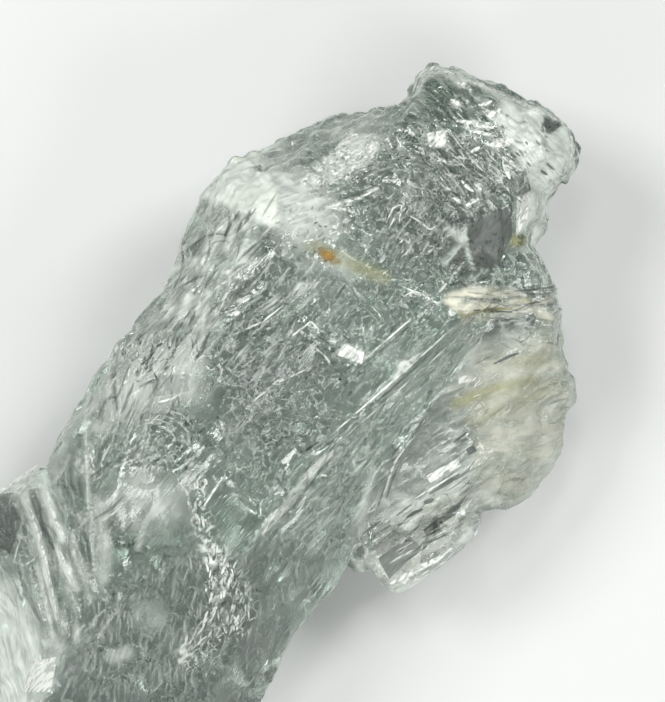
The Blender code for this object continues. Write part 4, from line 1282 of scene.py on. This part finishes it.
# %% Crisp faces
FACE_STEPS = 10
FACES = [
    # tone from 0 dark to 1 white, strength, four corners
    # Faces of tone 0.15 or less are painted shade on faces turned from the light.
    (0.10, 0.90, [(467, 226), (497, 212), (498, 268), (475, 265)]),
    (0.07, 0.90, [(497, 212), (511, 205), (512, 236), (498, 268)]),
    (0.10, 0.85, [(449, 262), (463, 247), (464, 264), (456, 264)]),
    (0.05, 0.80, [(544, 118), (563, 124), (553, 132), (545, 129)]),
    (0.13, 0.90, [(378, 558), (410, 536), (422, 548), (389, 579)]),
    (0.45, 0.70, [(375, 546), (396, 535), (399, 543), (378, 557)]),
    (0.06, 0.85, [(423, 530), (467, 495), (456, 514), (426, 535)]),
    (0.05, 0.85, [(466, 449), (474, 445), (477, 451), (469, 455)]),
    (0.95, 0.85, [(426, 476), (457, 459), (461, 466), (430, 483)]),
    (0.40, 0.65, [(456, 526), (471, 520), (469, 529), (449, 549)]),
    (0.15, 0.80, [(356, 550), (361, 547), (364, 553), (358, 556)]),
    (0.05, 0.65, [(514, 237), (524, 234), (528, 243), (518, 248)]),
    (0.10, 0.50, [(478, 150), (500, 150), (508, 156), (484, 158)]),
    (0.10, 0.40, [(450, 84), (463, 88), (466, 98), (454, 93)]),
    (0.10, 0.45, [(517, 172), (526, 168), (531, 190), (520, 198)]),
    # Painted highlights on faces that catch the lamps.
    (1.00, 0.95, [(337, 355), (345, 344), (364, 353), (362, 364)]),
    (1.00, 0.95, [(517, 196), (530, 192), (527, 222), (516, 238)]),
    (1.00, 0.85, [(492, 139), (510, 137), (511, 146), (494, 148)]),
    (0.95, 0.80, [(427, 133), (447, 130), (446, 147), (429, 147)]),
    (0.95, 0.85, [(458, 377), (475, 374), (476, 380), (459, 384)]),
    (0.80, 0.90, [(-6, 494), (37, 465), (42, 474), (22, 492)]),
    (0.95, 0.85, [(30, 662), (57, 657), (51, 692), (24, 692)]),
    (0.10, 0.70, [(-30, 500), (8, 494), (21, 520), (10, 556)]),
    (0.30, 0.40, [(150, 376), (186, 374), (189, 391), (154, 397)]),
]
u, v = np.meshgrid(np.linspace(0, 1, FACE_STEPS), np.linspace(0, 1, FACE_STEPS), indexing="ij")
blend = np.stack([(1 - u) * (1 - v), u * (1 - v), u * v, (1 - u) * v], axis=-1).reshape(-1, 4)
face_corners = np.array([corners for *_, corners in FACES], float)
face_places = np.einsum("kc,fcd->fkd", blend, face_corners).reshape(-1, 2)
face_numbers = np.array([numbers for *numbers, _ in FACES])
face_tone, face_strength = np.repeat(face_numbers, FACE_STEPS**2, axis=0).T
face_squares = repeated(grid_faces(FACE_STEPS, FACE_STEPS)[:, ::-1], FACE_STEPS**2, len(FACES))

# %% The finish of lines and faces
LINES_LIFT_MM, FACES_LIFT_MM = 0.05, 0.035
# The white carries lines and painted glints, the dark painted shade.
LINE_AND_GLINT_WHITE = (0.71, 0.74, 0.69, 1.0)
fine, tree, shader, in_mm = new_material("fine lines and faces, painted glints and shade", 0.3)
shader.inputs["Roughness"].default_value = 0.45
grit = noise(tree, in_mm, 4.6, 2.0)
tone_here, strength_here = per_point(tree, "tone"), per_point(tree, "strength")
shown = maths(tree, "MULTIPLY", tone_here, rescaled(tree, grit, 0.3, 0.55, 0.7))
tree.links.new(blended(tree, shown, MARK_AND_SHADE_DARK, LINE_AND_GLINT_WHITE), shader.inputs["Base Color"])
patchy = rescaled(tree, grit, 0.36, 0.54, 0.25)
solid = maths(tree, "MAXIMUM", patchy, maths(tree, "SUBTRACT", 1.0, tone_here))
tree.links.new(maths(tree, "MULTIPLY", strength_here, solid, True), shader.inputs["Alpha"])

strip_points = laid_on_skin(strip_columns, strip_rows, LINES_LIFT_MM)
make_piece("fine_lines", strip_points, strip_faces, fine, "veil", strength=strip_strength, tone=strip_tone)
face_points = laid_on_skin(*face_places.T, FACES_LIFT_MM)
make_piece("crisp_faces", face_points, face_squares, fine, "veil", strength=face_strength, tone=face_tone)

# %% [markdown]
# ## Cream fibres and iron stains
# Cream fibres fill a crack above the slab and cloud its lobe, and iron water has left olive bands
# and one orange speck. They could be colours of the clear body, but they lie in thin cracks at the
# skin, so each is a patch of the skin's own net, a few hundredths of a millimetre proud of it, that
# fades out where its mark does.

# %% Cream fibres and iron stains
fibre_spot = np.stack([column - 2.0 * row, row + 0.12 * column, 0.0 * row], axis=1)
fibre_noise = rough_noise(fibre_spot, (26.0, 5.0, 9.0), 95, 3)
LOBE_MARKS = [
    (1.0, outline_mask, [(470, 345), (556, 330), (572, 385), (558, 455), (512, 508), (470, 500),
     (478, 430)], 22),
    (0.4, outline_mask, [(380, 530), (470, 470), (478, 520), (395, 590), (362, 568)], 10),
]
lobe_beige = 0.50 * painted(LOBE_MARKS)
CREAM_MARKS = [
    (1.15, outline_mask, [(443, 297), (472, 287), (520, 291), (530, 301), (516, 312), (464, 314),
     (447, 306)], 5),
    (0.70, line_mask, [(505, 300), (532, 305), (548, 318)], 9),
    (0.60, line_mask, [(462, 322), (520, 312), (548, 300)], 6),
    (0.22, outline_mask, MILKY_CORNER, 7),
    (0.55, spot_mask, (466, 379), (16, 7), 10),
    (0.45, spot_mask, (454, 388), (12, 6), 10),
]
cream_strength = ramp(-0.8, 0.15, fibre_noise) * painted(CREAM_MARKS)
OLIVE_MARKS = [
    (0.50, line_mask, [(456, 403), (490, 391), (532, 380)], 12),
    (0.25, line_mask, [(470, 420), (520, 402), (552, 384)], 14),
    (0.80, line_mask, [(463, 315), (510, 308), (530, 300)], 3.5),
    (0.40, line_mask, [(313, 246), (336, 256), (356, 266), (384, 277)], 13),
    (0.50, line_mask, [(350, 264), (368, 268), (380, 274)], 9),
    (0.85, spot_mask, (520, 240), (10, 9), 20),
    (0.30, spot_mask, (530, 360), (30, 12), 10),
]
olive_strength = painted(OLIVE_MARKS)
rust_noise = rough_noise(np.stack([column, row, 0.0 * row], axis=1), 4.5, 105, 2)
RUST_MARKS = [
    (1.5, spot_mask, (328, 256), (9, 8), -20),
    (0.6, spot_mask, (321, 250), (5, 4), 0),
    (0.5, spot_mask, (335, 261), (6, 4), 0),
]
rust_strength = ramp(-0.9, -0.1, rust_noise) * painted(RUST_MARKS)

# %% Make the stains
CREAM_LIFT_MM, OLIVE_LIFT_MM, RUST_LIFT_MM = 0.018, 0.026, 0.034
cream = strength_material("cream fibres", (0.56, 0.56, 0.45), 0.6)
olive = strength_material("olive stain", (0.33, 0.33, 0.15), 0.6)
rust = strength_material("orange stain", (0.27, 0.155, 0.02), 0.5)
lobe_beige *= (0.55 + 0.5 * ramp(-0.5, 0.5, fibre_noise)) * (1.0 - ramp(0.1, 0.4, painted_shade_strength))
cream_strength = np.clip(np.maximum(cream_strength, lobe_beige), 0.0, 1.0)
skin_patch("cream_fibres", cream_strength, CREAM_LIFT_MM, cream, "veil")
skin_patch("olive_stain", olive_strength * (0.55 + 0.45 * wispy), OLIVE_LIFT_MM, olive, "stain")
skin_patch("orange_stain", np.clip(rust_strength, 0.0, 1.0), RUST_LIFT_MM, rust, "stain")

# %% [markdown]
# ## Veils and cracks deep inside
# Beryl is full of planes where it once cracked and healed. Seen at a slant they shine like silver
# or hang as white gauze, and they give the clear body its depth. Each is a ruled sheet between two
# lines given by pixel and height, with a little noise, and fades towards a ragged rim.

# %% Ruled sheets
SHEET_PITCH_MM = 0.22


def ruled_sheet(edge_a, edge_b, ripple, ragged, seed):
    """P(u, v) = (1 - v) A(u) + v B(u) plus ripple times noise. The strength is a hump over u and v,
    eaten into by noise as far as ragged says."""
    ends = [np.array([on_stone(*place) for place in edge]) for edge in (edge_a, edge_b)]
    long_side = max(np.linalg.norm(np.diff(end, axis=0), axis=1).sum() for end in ends)
    rows = max(int(long_side / SHEET_PITCH_MM), 6)
    columns = max(int(np.linalg.norm(ends[0] - ends[1], axis=1).mean() / SHEET_PITCH_MM), 5)
    u, v = np.meshgrid(np.linspace(0, 1, rows), np.linspace(0, 1, columns), indexing="ij")
    side_a, side_b = (np.repeat(along_line(end, u[:, 0]), columns, axis=0) for end in ends)
    points = side_a + (side_b - side_a) * v.ravel()[:, None]
    points += ripple * np.stack([rough_noise(points, 1.6, seed + 3 * k, 3) for k in range(3)], axis=1)
    hump = np.minimum(4 * u * (1 - u), 4 * v * (1 - v)).ravel()
    strength = ramp(0.0, 0.25 + ragged, hump + ragged * rough_noise(points, 1.1, seed + 50, 4))
    return points, grid_faces(rows, columns), strength


def ruled_sheets(sheets, seed):
    """Several sheets as one grid: the faces of each are counted on from those before it."""
    parts = [ruled_sheet(*sheet, seed + 9 * k) for k, sheet in enumerate(sheets)]
    points, faces, strengths = zip(*parts)
    first_points = np.cumsum([0] + [len(places) for places in points])
    faces = [squares + first for squares, first in zip(faces, first_points)]
    return np.concatenate(points), np.concatenate(faces), np.concatenate(strengths)


# %% Silver cracks
SILVER_SHEETS = [
    # two edges, each a list of pixel column, pixel row and height in mm; ripple; raggedness
    ([(343, 344, 13.7), (364, 351, 13.5)], [(337, 355, 13.0), (362, 363, 12.9)], 0.02, 0.0),
    ([(264, 531, 10.0), (300, 484, 11.2), (330, 452, 11.8)], [(273, 530, 8.4), (314, 494, 8.8),
     (336, 458, 10.6)], 0.10, 0.15),
    ([(296, 514, 9.0), (324, 484, 9.8)], [(304, 516, 8.0), (330, 490, 8.6)], 0.05, 0.10),
    ([(330, 438, 13.2), (392, 382, 13.6), (458, 325, 13.2)], [(325, 433, 11.0), (386, 375, 11.2),
     (452, 319, 11.0)], 0.06, 0.15),
    ([(364, 362, 13.0), (412, 319, 13.2)], [(360, 357, 11.6), (407, 314, 11.8)], 0.05, 0.10),
    ([(446, 124, 12.6), (470, 122, 13.2), (486, 136, 12.6)], [(444, 134, 11.0), (466, 133, 11.4),
     (480, 148, 11.0)], 0.15, 0.25),
    ([(300, 182, 12.6), (340, 160, 13.4), (376, 140, 13.0)], [(306, 196, 11.2), (346, 176, 11.6),
     (384, 154, 11.4)], 0.30, 0.35),
    ([(184, 240, 9.6), (190, 276, 9.8)], [(193, 240, 8.2), (198, 276, 8.4)], 0.10, 0.2),
    ([(205, 212, 10.2), (222, 200, 10.6)], [(210, 222, 9.0), (228, 212, 9.4)], 0.10, 0.2),
    ([(366, 536, 5.4), (418, 506, 6.0), (465, 474, 6.0)], [(372, 544, 3.4), (424, 514, 3.8),
     (470, 482, 3.8)], 0.04, 0.10),
    ([(383, 558, 5.0), (411, 538, 5.2)], [(393, 574, 2.4), (420, 553, 2.6)], 0.02, 0.0),
    ([(425, 534, 4.8), (464, 501, 5.2)], [(430, 541, 3.0), (470, 508, 3.2)], 0.03, 0.1),
    ([(110, 582, 11.5), (150, 600, 12.2), (198, 618, 12.0)], [(118, 570, 8.6), (160, 588, 9.0),
     (208, 604, 8.8)], 0.15, 0.3),
    ([(136, 560, 12.0), (176, 556, 12.4), (206, 584, 12.0)], [(140, 548, 9.4), (184, 542, 9.8),
     (216, 572, 9.4)], 0.15, 0.3),
    ([(60, 520, 9.0), (78, 580, 9.4)], [(72, 515, 6.8), (90, 576, 7.0)], 0.15, 0.3),
]
silver, tree, shader, in_mm = new_material("silver cracks")
shader.inputs["Base Color"].default_value = (0.90, 0.93, 0.91, 1.0)
shader.inputs["Metallic"].default_value = 1.0
silver_wisps = thread_pattern(tree, in_mm, 1.6, 0.08).outputs["Wisps"]
roughness = maths(tree, "ADD", maths(tree, "MULTIPLY", silver_wisps, 0.25), 0.10)
tree.links.new(roughness, shader.inputs["Roughness"])
share = maths(tree, "ADD", maths(tree, "MULTIPLY", silver_wisps, 0.40), 0.45)
alpha = maths(tree, "MULTIPLY", share, per_point(tree, "strength"), True)
tree.links.new(alpha, shader.inputs["Alpha"])
silver_points, silver_faces, silver_strength = ruled_sheets(SILVER_SHEETS, 200)
make_piece("silver_cracks", silver_points, silver_faces, silver, "veil", strength=silver_strength)

# %% White gauze
GAUZE_SHEETS = [
    ([(230, 300, 9.5), (300, 250, 10.5), (380, 235, 10.5)], [(240, 360, 7.0), (320, 320, 8.0),
     (400, 290, 8.0)], 0.7, 0.5),
    ([(212, 400, 9.0), (270, 380, 10.0), (330, 400, 9.5)], [(215, 470, 6.5), (280, 450, 7.0),
     (330, 465, 7.0)], 0.7, 0.5),
    ([(128, 352, 9.5), (190, 340, 10.5)], [(136, 415, 7.0), (204, 392, 8.0)], 0.5, 0.4),
    ([(190, 490, 11.5), (222, 556, 12.4), (250, 612, 12.4)], [(172, 500, 9.0), (200, 575, 9.5),
     (212, 628, 10.0)], 0.5, 0.4),
    ([(430, 420, 7.5), (500, 350, 8.5), (550, 330, 7.5)], [(440, 480, 5.0), (500, 430, 5.5),
     (550, 400, 5.0)], 0.5, 0.5),
    ([(212, 190, 9.5), (240, 160, 10.5), (285, 160, 11.0)], [(226, 214, 7.0), (262, 222, 8.0),
     (300, 205, 8.5)], 0.5, 0.4),
    ([(-40, 560, 5.5), (30, 590, 6.5)], [(-50, 640, 4.5), (20, 660, 5.5)], 0.4, 0.4),
]
gauze_points, gauze_faces, gauze_strength = ruled_sheets(GAUZE_SHEETS, 400)
gauze_strength *= 0.5 * (0.30 + 0.60 * ramp(-0.2, 0.5, rough_noise(gauze_points, 0.6, 99, 3)))
gauze = strength_material("white gauze", (0.80, 0.83, 0.80), 0.6)
make_piece("gauze", gauze_points, gauze_faces, gauze, "veil", strength=gauze_strength)

# %% [markdown]
# ## Growth tubes
# Thin hollow tubes run along the prism, left where growth was held up. They catch light as fine
# straight hairs. They could be curves with a bevel, but ninety of them are made at once from one
# array: a ring of six points, drawn along straight lines and tapered at both ends.

# %% Growth tubes
TUBE_COUNT = 90
TUBE_SIDES, TUBE_RINGS = 6, 6
TUBE_RADIUS_MM = (0.018, 0.05)
TUBE_LENGTH_MM = (1.5, 6.5)
TUBE_BOX_MM = ((-7.0, -22.0, 3.5), (5.5, 10.0, 13.0))
TUBE_STRENGTH = 0.9
tube_luck = np.random.default_rng(17)
tube_starts = tube_luck.uniform(*TUBE_BOX_MM, (TUBE_COUNT, 3))
tube_lengths = tube_luck.uniform(*TUBE_LENGTH_MM, TUBE_COUNT)
tube_radii = tube_luck.uniform(*TUBE_RADIUS_MM, TUBE_COUNT)
tube_shares = np.linspace(0.0, 1.0, TUBE_RINGS)
around = np.arange(TUBE_SIDES) * 2.0 * math.pi / TUBE_SIDES
taper = np.sin(math.pi * (0.08 + 0.84 * tube_shares))
ring = np.stack([np.cos(around), np.zeros(TUBE_SIDES), np.sin(around)], axis=1)
tube_points = tube_starts[:, None, None, :] + ring * (tube_radii[:, None, None, None] * taper[:, None, None])
tube_points[..., 1] += tube_lengths[:, None, None] * tube_shares[None, :, None]
tube_points = tube_points.reshape(-1, 3)

here = np.arange(TUBE_RINGS - 1)[:, None] * TUBE_SIDES + np.arange(TUBE_SIDES)
beside = np.roll(here, -1, axis=1)
walls = np.stack([here, here + TUBE_SIDES, beside + TUBE_SIDES, beside], axis=-1).reshape(-1, 4)
last_ring = TUBE_SIDES * (TUBE_RINGS - 1)
caps = np.array([[0, 1, 2, 3], [0, 3, 4, 5]])
far_caps = np.array([[3, 2, 1, 0], [5, 4, 3, 0]]) + last_ring
one_tube = np.concatenate([walls, caps, far_caps])
tube_faces = repeated(one_tube, TUBE_SIDES * TUBE_RINGS, TUBE_COUNT)
tube_strength = np.full(len(tube_points), TUBE_STRENGTH)
make_piece("growth_tubes", tube_points, tube_faces, silver, "veil", strength=tube_strength)
